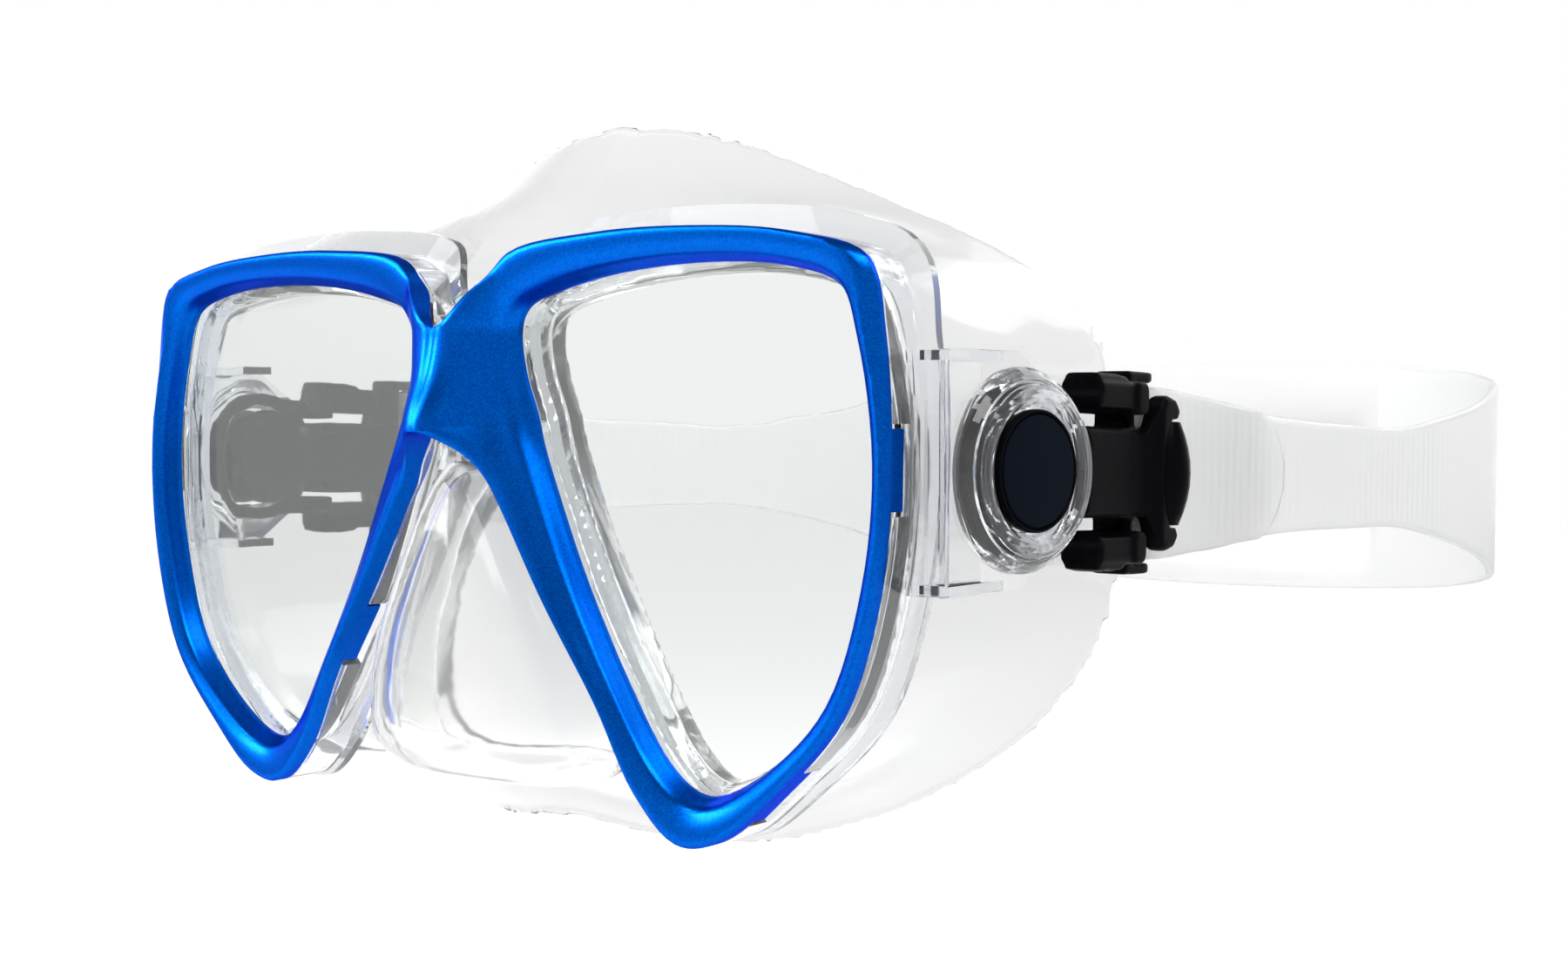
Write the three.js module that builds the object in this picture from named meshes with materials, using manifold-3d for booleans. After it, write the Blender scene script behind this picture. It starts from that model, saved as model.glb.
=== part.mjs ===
// Twin-lens diving mask: a front bezel that clips to a clear frame and traps two lenses and
// a soft skirt with its nose pocket, and one strap carried by two swivelling buckles.
// Millimetres. The mask looks along -Y, its wearer's left is +X, and +Z is up.
import * as THREE from "three";
import { mergeVertices } from "three/addons/utils/BufferGeometryUtils.js";
import Module from "manifold-3d";

const wasm = await Module();
wasm.setup();

// Clearances that the pieces share
const seatGap = 0.3;
const cutOverrun = 2;
const halfOverlap = 0.1;

// Eye openings
const openingNoseX = 10.3;
const openingWidth = 59.3;
const openingHeight = 70;
const bandWidth = 5;
const wrapSlope = 0.0426;
const wrapCentreX = 35;
const wrapBlend = 4;
const bridgeRise = 6;
const bridgeReach = 9.5;

// Stack of pieces behind the bezel, as depths from the edge of the eye openings
const lipThickness = 0.8;
const crestHeight = 3.3;
const rimHeight = 1.7;
const rimEdge = 0.6;
const lensThickness = 3;
const lensMargin = 1.8;
const gasketThickness = 1.8;
const webThickness = 1.6;

// Clear frame
const frameWall = 1.5;
const browFlange = 2.6;
const frameEdgeDrop = 0.4;
const apertureMargin = 0.8;
const bridgeShelf = 2.6;
const windowWidth = 11.5;
const windowDepth = 4;
const clipWidth = 10.3;
const clipDepth = 3;
const clipThickness = 1;

// Side pods with their round bosses
const pivotY = 22.7;
const pivotZ = 7.8;
const frameStandoff = 5.3;
const skirtStandoff = 9.4;
const bossRadius = 13.2;
const bossProud = 2.2;
const bossRound = 1.5;
const bossGrooveRadius = 11;
const bossGrooveWidth = 0.7;
const bossGrooveDepth = 0.6;
const bossRimWidth = 1.3;
const bossDish = 1.6;
const plateThickness = 2.2;
const plateProud = 0.5;
const podMargin = 2.3;
const podStraight = 0.4;
const podRib = 1.4;
const podRootDepth = 2.4;
const podCorner = 2;
const studHeadRadius = 7.65;
const studHeadThickness = 1.7;
const studShankRadius = 5.6;
const studSnapRadius = 6.6;
const studSnapThickness = 0.8;
const badgeRadius = 7;
const badgeThickness = 0.8;
const badgeSunk = 0.4;
const hubWall = 0.8;

// Buckles
const ringWidth = 1.8;
const ringThickness = 2.6;
const tongueThickness = 2;
const tongueHalfWidth = 4.2;
const armWidth = 3;
const armRootZ = 8.4;
const tabStart = 10.4;
const tabLength = 17.1;
const tabClearance = 0.8;
const tabInnerZ = 8;
const tabHeight = 4.6;
const tabThickness = 6.6;
const tabOffset = 1.4;
const tabRound = 1.2;
const tabRibWidth = 3.6;
const tabRibProud = 0.5;
const tabLipHeight = 0.7;
const tabRecessDepth = 3;
const tabLugLength = 0.9;
const tabLugHeight = 2.4;
const humpLength = 11.5;
const humpHeight = 0.7;
const gripProud = 0.25;
const gripCount = 3;
const gripWidth = 1.4;
const blockHalfHeight = 6.2;
const blockThickness = 8.6;
const blockOffset = 0.7;
const crossBarDepth = 2;
const cheekThickness = 1.5;
const cheekRadius = 2.8;
const pinRadius = 0.9;
const rollerWall = 0.7;
const rollerInset = 0.7;
const yokeThickness = 3.2;
const yokeWaist = 5.4;
const yokeHalfHeight = 11;
const yokeReach = 7.7;
const yokeDishRadius = 10;
const camHalfHeight = 7.3;
const camRadius = 3.4;
const camEndRadius = 1.8;
const camSunk = 1.6;
const camSwingDegrees = 18;

// Strap
const strapThickness = 1.6;
const strapWidth = 24.5;
const strapTailWidth = 19;
const strapPadWidth = 52;
const tailEndY = 102;
const layerEaseLength = 21;
const strapTuck = 2.1;
const strapRearY = 244;
const strapDropDegrees = 1.8;
const slotHalfLength = 40;
const slotHalfHeight = 6.5;

// Skirt
const skirtWall = 1.8;
const skirtLip = 1;
const skirtInset = 4.2;
const neckInset = 1.2;
const skirtHalfWidth = 69.3;
const skirtTopZ = 60;
const skirtBottomZ = 48.5;
const skirtDepth = 66;
const pocketHalfWidth = 20.5;
const pocketFrontY = -9;
const pocketBackY = 12;
const pocketOpenY = 20;
const pocketTopZ = 8.5;
const pocketHeight = 46.5;
const sealDepth = 36;

// Mesh fineness
const stationSteps = 2;
const roundSegments = 24;
const smallSegments = 12;
const cornerSegments = 2;
const edgeSegments = 1;
const weldDistance = 0.0001;

// Colours of the real materials
const bluePlastic = new THREE.MeshStandardMaterial({ color: 0x0048b4, roughness: 0.25, metalness: 0.1 });
const clearPlastic = new THREE.MeshStandardMaterial({ color: 0xdde6ee, roughness: 0.1, metalness: 0 });
const lensGlass = new THREE.MeshStandardMaterial({ color: 0xe2efea, roughness: 0.05, metalness: 0 });
const clearSilicone = new THREE.MeshStandardMaterial({ color: 0xf1f1ee, roughness: 0.35, metalness: 0 });
const blackPlastic = new THREE.MeshStandardMaterial({ color: 0x17181a, roughness: 0.5, metalness: 0 });
const mattBlack = new THREE.MeshStandardMaterial({ color: 0x1b1c20, roughness: 0.8, metalness: 0 });
const steel = new THREE.MeshStandardMaterial({ color: 0xb8bcc0, roughness: 0.3, metalness: 1 });

// Solids from points and triangles, turned so that their faces point out
function solid(points, triangles) {
  const vertProperties = new Float32Array(points.flat());
  const made = new wasm.Manifold(
    new wasm.Mesh({ numProp: 3, vertProperties, triVerts: new Uint32Array(triangles.flat()) }),
  );
  if (made.volume() > 0) return made;
  const turned = triangles.map(([a, b, c]) => [a, c, b]);
  return new wasm.Manifold(
    new wasm.Mesh({ numProp: 3, vertProperties, triVerts: new Uint32Array(turned.flat()) }),
  );
}

function solidOf(geometry) {
  const bare = geometry.index ? geometry.toNonIndexed() : geometry.clone();
  bare.deleteAttribute("normal");
  bare.deleteAttribute("uv");
  const merged = mergeVertices(bare, weldDistance);
  const place = merged.attributes.position;
  const points = [];
  for (let i = 0; i < place.count; i += 1) {
    points.push([place.getX(i), place.getY(i), place.getZ(i)]);
  }
  const triangles = [];
  for (let i = 0; i < merged.index.count; i += 3) {
    triangles.push([merged.index.getX(i), merged.index.getX(i + 1), merged.index.getX(i + 2)]);
  }
  return solid(points, triangles);
}

function meshOf(name, made, material) {
  const { vertProperties, triVerts } = made.getMesh();
  const geometry = new THREE.BufferGeometry();
  geometry.setAttribute("position", new THREE.BufferAttribute(new Float32Array(vertProperties), 3));
  geometry.setIndex(new THREE.BufferAttribute(new Uint32Array(triVerts), 1));
  geometry.computeVertexNormals();
  const mesh = new THREE.Mesh(geometry, material);
  mesh.name = name;
  return mesh;
}

// Joins rows of loops: around into a closed ring, or from one flat end to the other
function gridTriangles(rowCount, loopCount, ring) {
  const triangles = [];
  const last = ring ? rowCount : rowCount - 1;
  for (let row = 0; row < last; row += 1) {
    const next = (row + 1) % rowCount;
    for (let i = 0; i < loopCount; i += 1) {
      const j = (i + 1) % loopCount;
      triangles.push([row * loopCount + i, next * loopCount + i, next * loopCount + j]);
      triangles.push([row * loopCount + i, next * loopCount + j, row * loopCount + j]);
    }
  }
  return triangles;
}

function ringSolid(rows) {
  return solid(rows.flat(), gridTriangles(rows.length, rows[0].length, true));
}

// The cap over one end loop, seen along Y, or along Z for level loops
function capTriangles(loop, start, turned, level) {
  const flat = loop.map((p) => new THREE.Vector2(p[0], level ? p[1] : p[2]));
  const loopTurns = THREE.ShapeUtils.area(flat) > 0;
  return THREE.ShapeUtils.triangulateShape(flat, []).map(([a, b, c]) => {
    const turns = THREE.ShapeUtils.area([flat[a], flat[b], flat[c]]) > 0;
    const keep = (turns === loopTurns) !== turned;
    return keep ? [start + a, start + b, start + c] : [start + a, start + c, start + b];
  });
}

function loftSolid(rows, level = false) {
  const count = rows[0].length;
  const last = rows.length - 1;
  const triangles = gridTriangles(rows.length, count, false);
  triangles.push(...capTriangles(rows[0], 0, false, level));
  triangles.push(...capTriangles(rows[last], last * count, true, level));
  return solid(rows.flat(), triangles);
}

const mirrored = (made) => made.mirror([1, 0, 0]);

function joined(parts) {
  return parts.reduce((whole, part) => whole.add(part));
}

// Smooth lines through hand-chosen points, read by their station number
function lineThrough(points, closed) {
  const curve = new THREE.CatmullRomCurve3(
    points.map(([x, y, z = 0]) => new THREE.Vector3(x, y, z)),
    closed,
    "centripetal",
  );
  const spans = closed ? points.length : points.length - 1;
  return (station) => curve.getPoint(station / spans);
}

const smooth = (low, high, value) => THREE.MathUtils.smoothstep(value, low, high);
const mix = THREE.MathUtils.lerp;

// How far the front of the mask stands back at x: swept back outward, forward over the nose
function wrapDepth(x) {
  const swept = wrapSlope * (Math.hypot(x, wrapBlend) - wrapCentreX);
  const near = Math.min(Math.abs(x) / bridgeReach, 1);
  return swept - (bridgeRise * (1 + Math.cos(Math.PI * near))) / 2;
}

const wrapped = (x, depth, z) => [x, depth + wrapDepth(x), z];

// Outline of one eye opening: shares of its width and half height, the way from there to the
// bezel's rim as shares of the band, and the frame's rear flange as a share of the brow's.
// The first three stations cross the bridge.
const eyeShares = [
  [0.052, 0.429, 0, -0.46, 0.45],
  [0.015, 0.6, 0, -0.2, 0.5],
  [0.002, 0.771, 0, 0.04, 0.7],
  [0.029, 0.857, -1.56, 0.64, 0.9],
  [0.121, 0.914, -1.3, 1.08, 1],
  [0.298, 0.974, -0.4, 1.08, 1],
  [0.56, 1, -0.1, 0.92, 1],
  [0.771, 0.971, 0.4, 0.84, 0.95],
  [0.906, 0.891, 1.06, 0.68, 0.8],
  [0.956, 0.7, 1.08, 0.1, 0.6],
  [1, 0.257, 0.76, 0, 0.55],
  [0.973, -0.171, 0.82, -0.2, 0.45],
  [0.885, -0.6, 0.76, -0.4, 0.4],
  [0.737, -0.857, 0.48, -0.76, 0.25],
  [0.594, -0.994, 0.22, -1.16, 0.15],
  [0.526, -0.997, -0.3, -1.3, 0.15],
  [0.442, -0.9, -0.74, -0.8, 0.25],
  [0.332, -0.606, -0.7, -0.46, 0.4],
  [0.211, -0.229, -1.1, -0.3, 0.45],
  [0.116, 0.143, -1.48, -0.2, 0.45],
  [0.078, 0.314, -2.06, -0.08, 0.45],
];
const bridgeStations = 2;
const stationCount = eyeShares.length;
const openingPoints = eyeShares.map(([u, v]) => [
  openingNoseX + u * openingWidth,
  (v * openingHeight) / 2,
]);
const rimPoints = eyeShares.map(([, , du, dv], k) => {
  const [x, z] = openingPoints[k];
  return [k <= bridgeStations ? 0 : x + du * bandWidth, z + dv * bandWidth];
});
const openingLine = lineThrough(openingPoints, true);
const rimRun = [...rimPoints.slice(bridgeStations), rimPoints[0]];
const [archLastX, archLastZ] = rimPoints[stationCount - 1];
const rimLine = lineThrough([...rimRun, [-archLastX, archLastZ]], false);
const tangentStep = 0.02;

function pointWithNormal(line, station, low, high) {
  const before = line(Math.max(station - tangentStep, low));
  const after = line(Math.min(station + tangentStep, high));
  const along = after.sub(before).normalize();
  return [line(station), new THREE.Vector3(-along.y, along.x, 0)];
}

// A point beside the eye opening, out by a margin, as [x, z]
function besideOpening(station, margin) {
  const turned = (station + stationCount) % stationCount;
  const before = openingLine((turned - tangentStep + stationCount) % stationCount);
  const after = openingLine((turned + tangentStep) % stationCount);
  const along = after.sub(before).normalize();
  const at = openingLine(turned);
  return [at.x - along.y * margin, at.y + along.x * margin];
}

// A point beside the bezel's rim, which runs up the middle plane where it crosses the bridge
function besideRim(station, margin) {
  if (station < bridgeStations) {
    const low = besideRim(stationCount, margin)[1];
    const high = besideRim(bridgeStations, margin)[1];
    return [-halfOverlap, mix(low, high, station / bridgeStations)];
  }
  const run = station - bridgeStations;
  const [at, normal] = pointWithNormal(rimLine, run, 0, stationCount - bridgeStations + tangentStep);
  return [Math.max(at.x + normal.x * margin, -halfOverlap), at.y + normal.y * margin];
}

const stations = [];
for (let i = 0; i < stationCount * stationSteps; i += 1) {
  stations.push(i / stationSteps);
}
const bridgeTurn = 0.7;
const bridgeDrop = 1.6;

// One on the bridge and nought past it; the second is still one where the first has died away
function bridgeFactors(station) {
  const past = station > stationCount / 2 ? stationCount - station : station - bridgeStations;
  const wide = 1 - smooth(0, bridgeTurn, past);
  const high = 1 - smooth(bridgeTurn, bridgeDrop, past);
  return past <= 0 ? [1, 1] : [wide, high];
}

const webFront = lipThickness + seatGap + lensThickness + seatGap + gasketThickness + seatGap;
const webRear = webFront + webThickness;
const lensFront = lipThickness + seatGap;
const gasketFront = lensFront + lensThickness + seatGap;

function flangeAt(station) {
  const low = Math.floor(station) % stationCount;
  const share = mix(eyeShares[low][4], eyeShares[(low + 1) % stationCount][4], station % 1);
  return share * browFlange;
}

const rimRear = -rimHeight + rimEdge;
// Bezel: a dished band from the opening's lip over a crest to the proud rim, with a step
// behind the rim for the frame's wall
const bandShares = [0, 0, 0.3, 0.62, 0.84, 0.97, 1];
function bezelHalf() {
  const crest = -crestHeight;
  const rim = -rimHeight;
  const rows = stations.map((station) => {
    const inner = besideOpening(station, 0);
    const outer = besideRim(station, 0);
    const [wide, high] = bridgeFactors(station);
    const depths = [
      lipThickness,
      0,
      crest / 2,
      crest,
      mix(mix(crest, rim, 1 / 4), crest, high),
      mix(mix(crest, rim, 3 / 4), crest, high),
      mix(rim, crest, high),
    ];
    const face = depths.map((depth, k) => {
      const share = bandShares[k];
      return wrapped(mix(inner[0], outer[0], share), depth, mix(inner[1], outer[1], share));
    });
    const step = besideRim(station, -frameWall - seatGap);
    const stepAt = [mix(step[0], outer[0], wide), mix(step[1], outer[1], wide)];
    const rear = mix(rimRear, lipThickness, high);
    face.push(wrapped(outer[0], rear, outer[1]));
    face.push(wrapped(stepAt[0], rear, stepAt[1]));
    face.push(wrapped(stepAt[0], lipThickness, stepAt[1]));
    return face;
  });
  return ringSolid(rows);
}

// Clips on the bezel that show in windows of the frame, by the station each stands at
const clipStations = [5.6, 10.05, 13.1, 17.4];

function boxAcross(station, width, inner, outer, front, rear) {
  const [ax, az] = besideRim(station, inner);
  const [bx, bz] = besideRim(station, outer);
  const across = new THREE.Vector2(bx - ax, bz - az).normalize();
  const side = new THREE.Vector2(-across.y, across.x).multiplyScalar(width / 2);
  const loop = (depth) => [
    wrapped(ax + side.x, depth, az + side.y),
    wrapped(bx + side.x, depth, bz + side.y),
    wrapped(bx - side.x, depth, bz - side.y),
    wrapped(ax - side.x, depth, az - side.y),
  ];
  return loftSolid([loop(front), loop(rear)]);
}

const clips = clipStations.map((station) =>
  boxAcross(station, clipWidth, -seatGap - clipThickness, -seatGap, -rimHeight, rimRear + clipDepth),
);
const windowCut = [-frameWall - cutOverrun / 4, cutOverrun, rimRear, rimRear + windowDepth];
const windows = clipStations.map((station) => boxAcross(station, windowWidth, ...windowCut));

const bezelSide = joined([bezelHalf(), ...clips]);
const frontBezel = bezelSide.add(mirrored(bezelSide));

// Lenses: flat plates behind the bezel's lip
function aroundOpening(margin, depth, flat = false) {
  return stations.map((station) => {
    const [x, z] = besideOpening(station, margin);
    return flat ? [x, depth + wrapSlope * (x - wrapCentreX), z] : wrapped(x, depth, z);
  });
}

const lensPlate = loftSolid([
  aroundOpening(lensMargin, lensFront, true),
  aroundOpening(lensMargin, lensFront + lensThickness, true),
]);

// Clear frame: a wall round the bezel and a web behind the lens, joined over the nose
function frameHalf() {
  const wallTop = rimRear + seatGap;
  const shelfTop = lipThickness + 2 * seatGap;
  const rows = stations.map((station) => {
    const [wide, high] = bridgeFactors(station);
    const top = mix(wallTop, shelfTop, high);
    const web = besideOpening(station, apertureMargin);
    const shelf = besideOpening(station, bridgeShelf);
    const guard = besideOpening(station, lensMargin + seatGap);
    const wall = besideRim(station, -frameWall);
    const seat = [mix(wall[0], shelf[0], wide), mix(wall[1], shelf[1], wide)];
    const mid = besideRim(station, -frameWall / 2);
    const skin = besideRim(station, 0);
    const flange = besideRim(station, flangeAt(station));
    return [
      wrapped(web[0], webRear, web[1]),
      wrapped(web[0], webFront, web[1]),
      wrapped(guard[0], webFront, guard[1]),
      wrapped(seat[0], webFront, seat[1]),
      wrapped(seat[0], top, seat[1]),
      wrapped(mid[0], top, mid[1]),
      wrapped(skin[0], top + frameEdgeDrop, skin[1]),
      wrapped(skin[0], webFront - flangeAt(station) / 2, skin[1]),
      wrapped(flange[0], webFront + frameEdgeDrop / 2, flange[1]),
      wrapped(flange[0], webRear, flange[1]),
    ];
  });
  return ringSolid(rows);
}

// Turned pieces stand on the pivot's axis, which runs along X at the pivot
function turnedOnX(profile) {
  const shape = new THREE.LatheGeometry(
    profile.map(([radius, x]) => new THREE.Vector2(radius, x)),
    roundSegments,
  );
  shape.rotateZ(-Math.PI / 2);
  return solidOf(shape).translate([0, pivotY, pivotZ]);
}

function discOnX(radius, x, thickness) {
  return turnedOnX([[0, x], [radius, x], [radius, x + thickness], [0, x + thickness]]);
}

// A plate cut from a side outline of [y, z] points, standing from x outward
function sidePlate(outline, x, thickness, round = 0) {
  const shape = new THREE.Shape(outline.map(([y, z]) => new THREE.Vector2(y, z)));
  const geometry = new THREE.ExtrudeGeometry(shape, {
    depth: thickness - 2 * round,
    bevelEnabled: round > 0,
    bevelThickness: round,
    bevelSize: round,
    bevelOffset: -round,
    bevelSegments: edgeSegments,
    steps: 1,
  });
  geometry.translate(0, 0, round);
  geometry.applyMatrix4(new THREE.Matrix4().set(0, 0, 1, x, 1, 0, 0, 0, 0, 1, 0, 0, 0, 0, 0, 1));
  return solidOf(geometry);
}

function boxBetween(low, high) {
  const geometry = new THREE.BoxGeometry(high[0] - low[0], high[1] - low[1], high[2] - low[2]);
  geometry.translate((low[0] + high[0]) / 2, (low[1] + high[1]) / 2, (low[2] + high[2]) / 2);
  return solidOf(geometry);
}

// Side pod: an open-backed box behind the frame, with a round boss for the swivel stud. It
// reaches from the frame's side wall out past the frame and the skirt, whichever is wider.
const frameSideX = Math.max(...rimPoints.map(([x]) => x));
const badgeFaceX = Math.max(frameSideX + frameStandoff, skirtHalfWidth + skirtStandoff);
const plateOuterX = badgeFaceX - plateProud;
const plateInnerX = plateOuterX - plateThickness;
const bossFaceX = plateOuterX + bossProud;
const podFrontY = webFront + wrapDepth(plateOuterX) + frameEdgeDrop;
const podWallEndY = webRear + wrapDepth(plateOuterX);
const headSeatX = badgeFaceX - badgeThickness + badgeSunk - studHeadThickness;
const podHalfHeight = bossRadius + podMargin;
const hubRadius = studHeadRadius + seatGap + hubWall;
const ringInnerRadius = hubRadius + seatGap;
const ringOuterRadius = ringInnerRadius + ringWidth;
const ringOuterX = plateInnerX - seatGap;
const ringInnerX = ringOuterX - ringThickness;
const tongueOuterX = ringInnerX - seatGap;
const tongueInnerX = tongueOuterX - tongueThickness;

function arcPoints(radius, fromAngle, toAngle, count) {
  const points = [];
  for (let i = 0; i <= count; i += 1) {
    const angle = mix(fromAngle, toAngle, i / count);
    points.push([pivotY + radius * Math.cos(angle), pivotZ + radius * Math.sin(angle)]);
  }
  return points;
}

function sidePod() {
  const cornerRadius = Math.hypot(podStraight, podHalfHeight);
  const tangent = Math.atan2(podHalfHeight, podStraight) - Math.acos(bossRadius / cornerRadius);
  const outline = [
    [podFrontY, pivotZ - podHalfHeight],
    [pivotY + podStraight, pivotZ - podHalfHeight],
    ...arcPoints(bossRadius, -tangent, tangent, smallSegments),
    [pivotY + podStraight, pivotZ + podHalfHeight],
    [podFrontY, pivotZ + podHalfHeight],
  ];
  const plate = sidePlate(outline, plateInnerX, plateThickness);
  const seatRadius = studHeadRadius + seatGap;
  const grooveHalf = bossGrooveWidth / 2;
  const boss = turnedOnX([
    [0, plateInnerX],
    [bossRadius, plateInnerX],
    [bossRadius, bossFaceX - bossRound],
    [bossRadius - bossRound / 3, bossFaceX - bossRound / 3],
    [bossGrooveRadius + grooveHalf, bossFaceX],
    [bossGrooveRadius, bossFaceX - bossGrooveDepth],
    [bossGrooveRadius - grooveHalf, bossFaceX],
    [bossGrooveRadius - grooveHalf - bossRimWidth, bossFaceX],
    [seatRadius, bossFaceX - bossDish],
    [0, bossFaceX - bossDish],
  ]);
  const hub = discOnX(hubRadius, tongueOuterX + seatGap, plateOuterX - tongueOuterX);
  const ribInnerX = frameSideX - podRootDepth;
  const ribs = [-1, 1].map((side) => {
    const outerZ = pivotZ + side * podHalfHeight;
    const innerZ = outerZ - side * podRib;
    return boxBetween(
      [ribInnerX, podFrontY, Math.min(outerZ, innerZ)],
      [plateInnerX + halfOverlap, pivotY + podStraight, Math.max(outerZ, innerZ)],
    );
  });
  const frontWall = boxBetween(
    [ribInnerX + podRib, podFrontY, pivotZ - podHalfHeight],
    [plateInnerX + halfOverlap, podWallEndY, pivotZ + podHalfHeight],
  );
  const cornerReach = cutOverrun * podCorner;
  const cornerCut = boxBetween(
    [-cornerReach, -cornerReach, -cutOverrun * podHalfHeight],
    [cornerReach, 0, cutOverrun * podHalfHeight],
  )
    .rotate([0, 0, 45])
    .translate([plateOuterX - podCorner / 2, podFrontY + podCorner / 2, pivotZ]);
  const seat = discOnX(seatRadius, headSeatX - seatGap, bossFaceX);
  const bore = discOnX(studShankRadius + seatGap, 0, bossFaceX);
  return [cornerCut, seat, bore].reduce(
    (left, cut) => left.subtract(cut),
    joined([plate, boss, hub, ...ribs, frontWall]),
  );
}

const podSide = sidePod();
const windowCuts = joined(windows);
const frameSide = frameHalf().subtract(windowCuts).add(podSide);
const mainFrame = frameSide.add(mirrored(frameSide));

// Swivel stud: its head sits in the boss, its shank passes the hub and its snap end holds the
// buckle's tongue. The bare badge disc lies in a shallow recess of the head.
const tongueRadius = hubRadius - podRib / 2;
const stud = joined([
  discOnX(studHeadRadius, headSeatX, studHeadThickness + badgeSunk / 2),
  discOnX(studShankRadius, tongueInnerX - seatGap - halfOverlap, headSeatX - tongueInnerX + 2 * seatGap),
  discOnX(studSnapRadius, tongueInnerX - seatGap - studSnapThickness, studSnapThickness),
]).subtract(discOnX(badgeRadius + seatGap, badgeFaceX - badgeThickness - seatGap, cutOverrun));
const badge = turnedOnX([
  [0, badgeFaceX - badgeThickness],
  [badgeRadius, badgeFaceX - badgeThickness],
  [badgeRadius, badgeFaceX - badgeSunk / 2],
  [badgeRadius - badgeSunk / 2, badgeFaceX],
  [0, badgeFaceX],
]);

// Clip ring round the hub, open at the back, with a shoulder for each arm. The shoulders end
// just beyond the boss, and what moves beyond them is cut to pass round it.
const armLowZ = armRootZ - armWidth / 2;
const tabInnerX = ringInnerX + tabOffset;
const tabOuterX = tabInnerX + tabThickness;
const shoulderRadius = bossRadius + seatGap;
const armRootRadius = shoulderRadius + seatGap;
const bossPassage = discOnX(armRootRadius, 0, tabOuterX + cutOverrun);
const ringOpening = boxBetween(
  [0, pivotY, pivotZ - armRootZ + armWidth],
  [badgeFaceX, pivotY + armRootRadius, pivotZ + armRootZ - armWidth],
);
const armBar = boxBetween(
  [ringInnerX, pivotY, pivotZ + armLowZ],
  [ringOuterX, pivotY + armRootRadius + cutOverrun, pivotZ + armLowZ + armWidth],
);
const upsideDown = (made) => made.translate([0, 0, -pivotZ]).mirror([0, 0, 1]).translate([0, 0, pivotZ]);
const shoulder = armBar
  .intersect(discOnX(shoulderRadius, 0, badgeFaceX))
  .subtract(discOnX(ringInnerRadius, 0, badgeFaceX));
const ring = turnedOnX([
  [ringInnerRadius, ringInnerX],
  [ringOuterRadius, ringInnerX],
  [ringOuterRadius, ringOuterX],
  [ringInnerRadius, ringOuterX],
  [ringInnerRadius, ringInnerX],
]);
const clipRing = joined([ring, shoulder, upsideDown(shoulder)]).subtract(ringOpening);

// Release arm: a spring arm from the shoulder, ending in a thumb tab. The tab has a hump with
// fine teeth for the thumb, a rib down its rear edge, a lug behind and a recess along its lip.
function roundedOutline(y0, y1, z0, z1, radius) {
  const shape = new THREE.Shape();
  shape.moveTo(y0 + radius, z0);
  shape.lineTo(y1 - radius, z0);
  shape.absarc(y1 - radius, z0 + radius, radius, -Math.PI / 2, 0);
  shape.absarc(y1 - radius, z1 - radius, radius, 0, Math.PI / 2);
  shape.absarc(y0 + radius, z1 - radius, radius, Math.PI / 2, Math.PI);
  shape.absarc(y0 + radius, z0 + radius, radius, Math.PI, 1.5 * Math.PI);
  return shape.getPoints(cornerSegments).map((p) => [pivotY + p.x, pivotZ + p.y]);
}

function releaseArm() {
  const tabEnd = tabStart + tabLength;
  const tabTopZ = tabInnerZ + tabHeight;
  const outline = roundedOutline(tabStart, tabEnd, tabInnerZ, tabTopZ, tabRound);
  const tab = sidePlate(outline, tabInnerX, tabThickness, tabRound / 2);
  const humpStart = tabStart + tabRound;
  const hump = sidePlate(
    roundedOutline(humpStart, humpStart + humpLength, tabTopZ - tabRound, tabTopZ + humpHeight, humpHeight),
    tabInnerX + tabRound / 2,
    tabThickness - tabRound,
  );
  const pitch = humpLength / (gripCount + 1);
  const grips = Array.from({ length: gripCount }, (_, k) => {
    const y = pivotY + humpStart + (k + 1) * pitch;
    const top = pivotZ + tabTopZ + humpHeight;
    return boxBetween(
      [tabInnerX + tabRound, y - gripWidth / 2, top - tabRound],
      [tabOuterX - tabRound, y + gripWidth / 2, top + gripProud],
    );
  });
  const rib = sidePlate(
    roundedOutline(tabEnd - tabRibWidth, tabEnd, tabInnerZ, tabTopZ, tabRound),
    tabOuterX - tabRound,
    tabRound + tabRibProud,
    tabRibProud / 2,
  );
  const lugTopZ = pivotZ + tabTopZ - tabRound / 2;
  const lug = boxBetween(
    [rollerX + cheekRadius + seatGap, pivotY + tabEnd - tabRound, lugTopZ - tabLugHeight],
    [tabOuterX - tabRound / 2, pivotY + tabEnd + tabLugLength, lugTopZ],
  );
  const recess = boxBetween(
    [tabOuterX - tabRecessDepth, pivotY, pivotZ + tabInnerZ - cutOverrun],
    [tabOuterX + cutOverrun, pivotY + tabEnd - tabRibWidth, pivotZ + tabInnerZ + tabLipHeight],
  );
  return [bossPassage, recess].reduce(
    (left, cut) => left.subtract(cut),
    joined([armBar, tab, hump, ...grips, rib, lug]),
  );
}

// Strap path round the roller, seen from above
const wrapRadius = pinRadius + seatGap + rollerWall + seatGap + strapThickness / 2;
const rollerRadius = pinRadius + seatGap + rollerWall;
const crossBarY = pivotY + tabStart + tabLength + tabClearance;
const rollerY = crossBarY + crossBarDepth + seatGap + wrapRadius + strapThickness / 2;
const rollerX = ringOuterX - rollerInset;
const wrapOuterX = rollerX + wrapRadius + strapThickness / 2;
const rollerHalfLength = strapWidth / 2 + seatGap;

const upperArm = releaseArm();
const lowerArm = upsideDown(upperArm);

// Buckle body: tongue on the stud, block, cross bar with roller cheeks, and the waisted yoke
const yokeInnerX = wrapOuterX + seatGap;
const blockInnerX = tongueInnerX + blockOffset;
const blockOuterX = blockInnerX + blockThickness;
const camX = yokeInnerX + camSunk;
const camY = rollerY;

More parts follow.
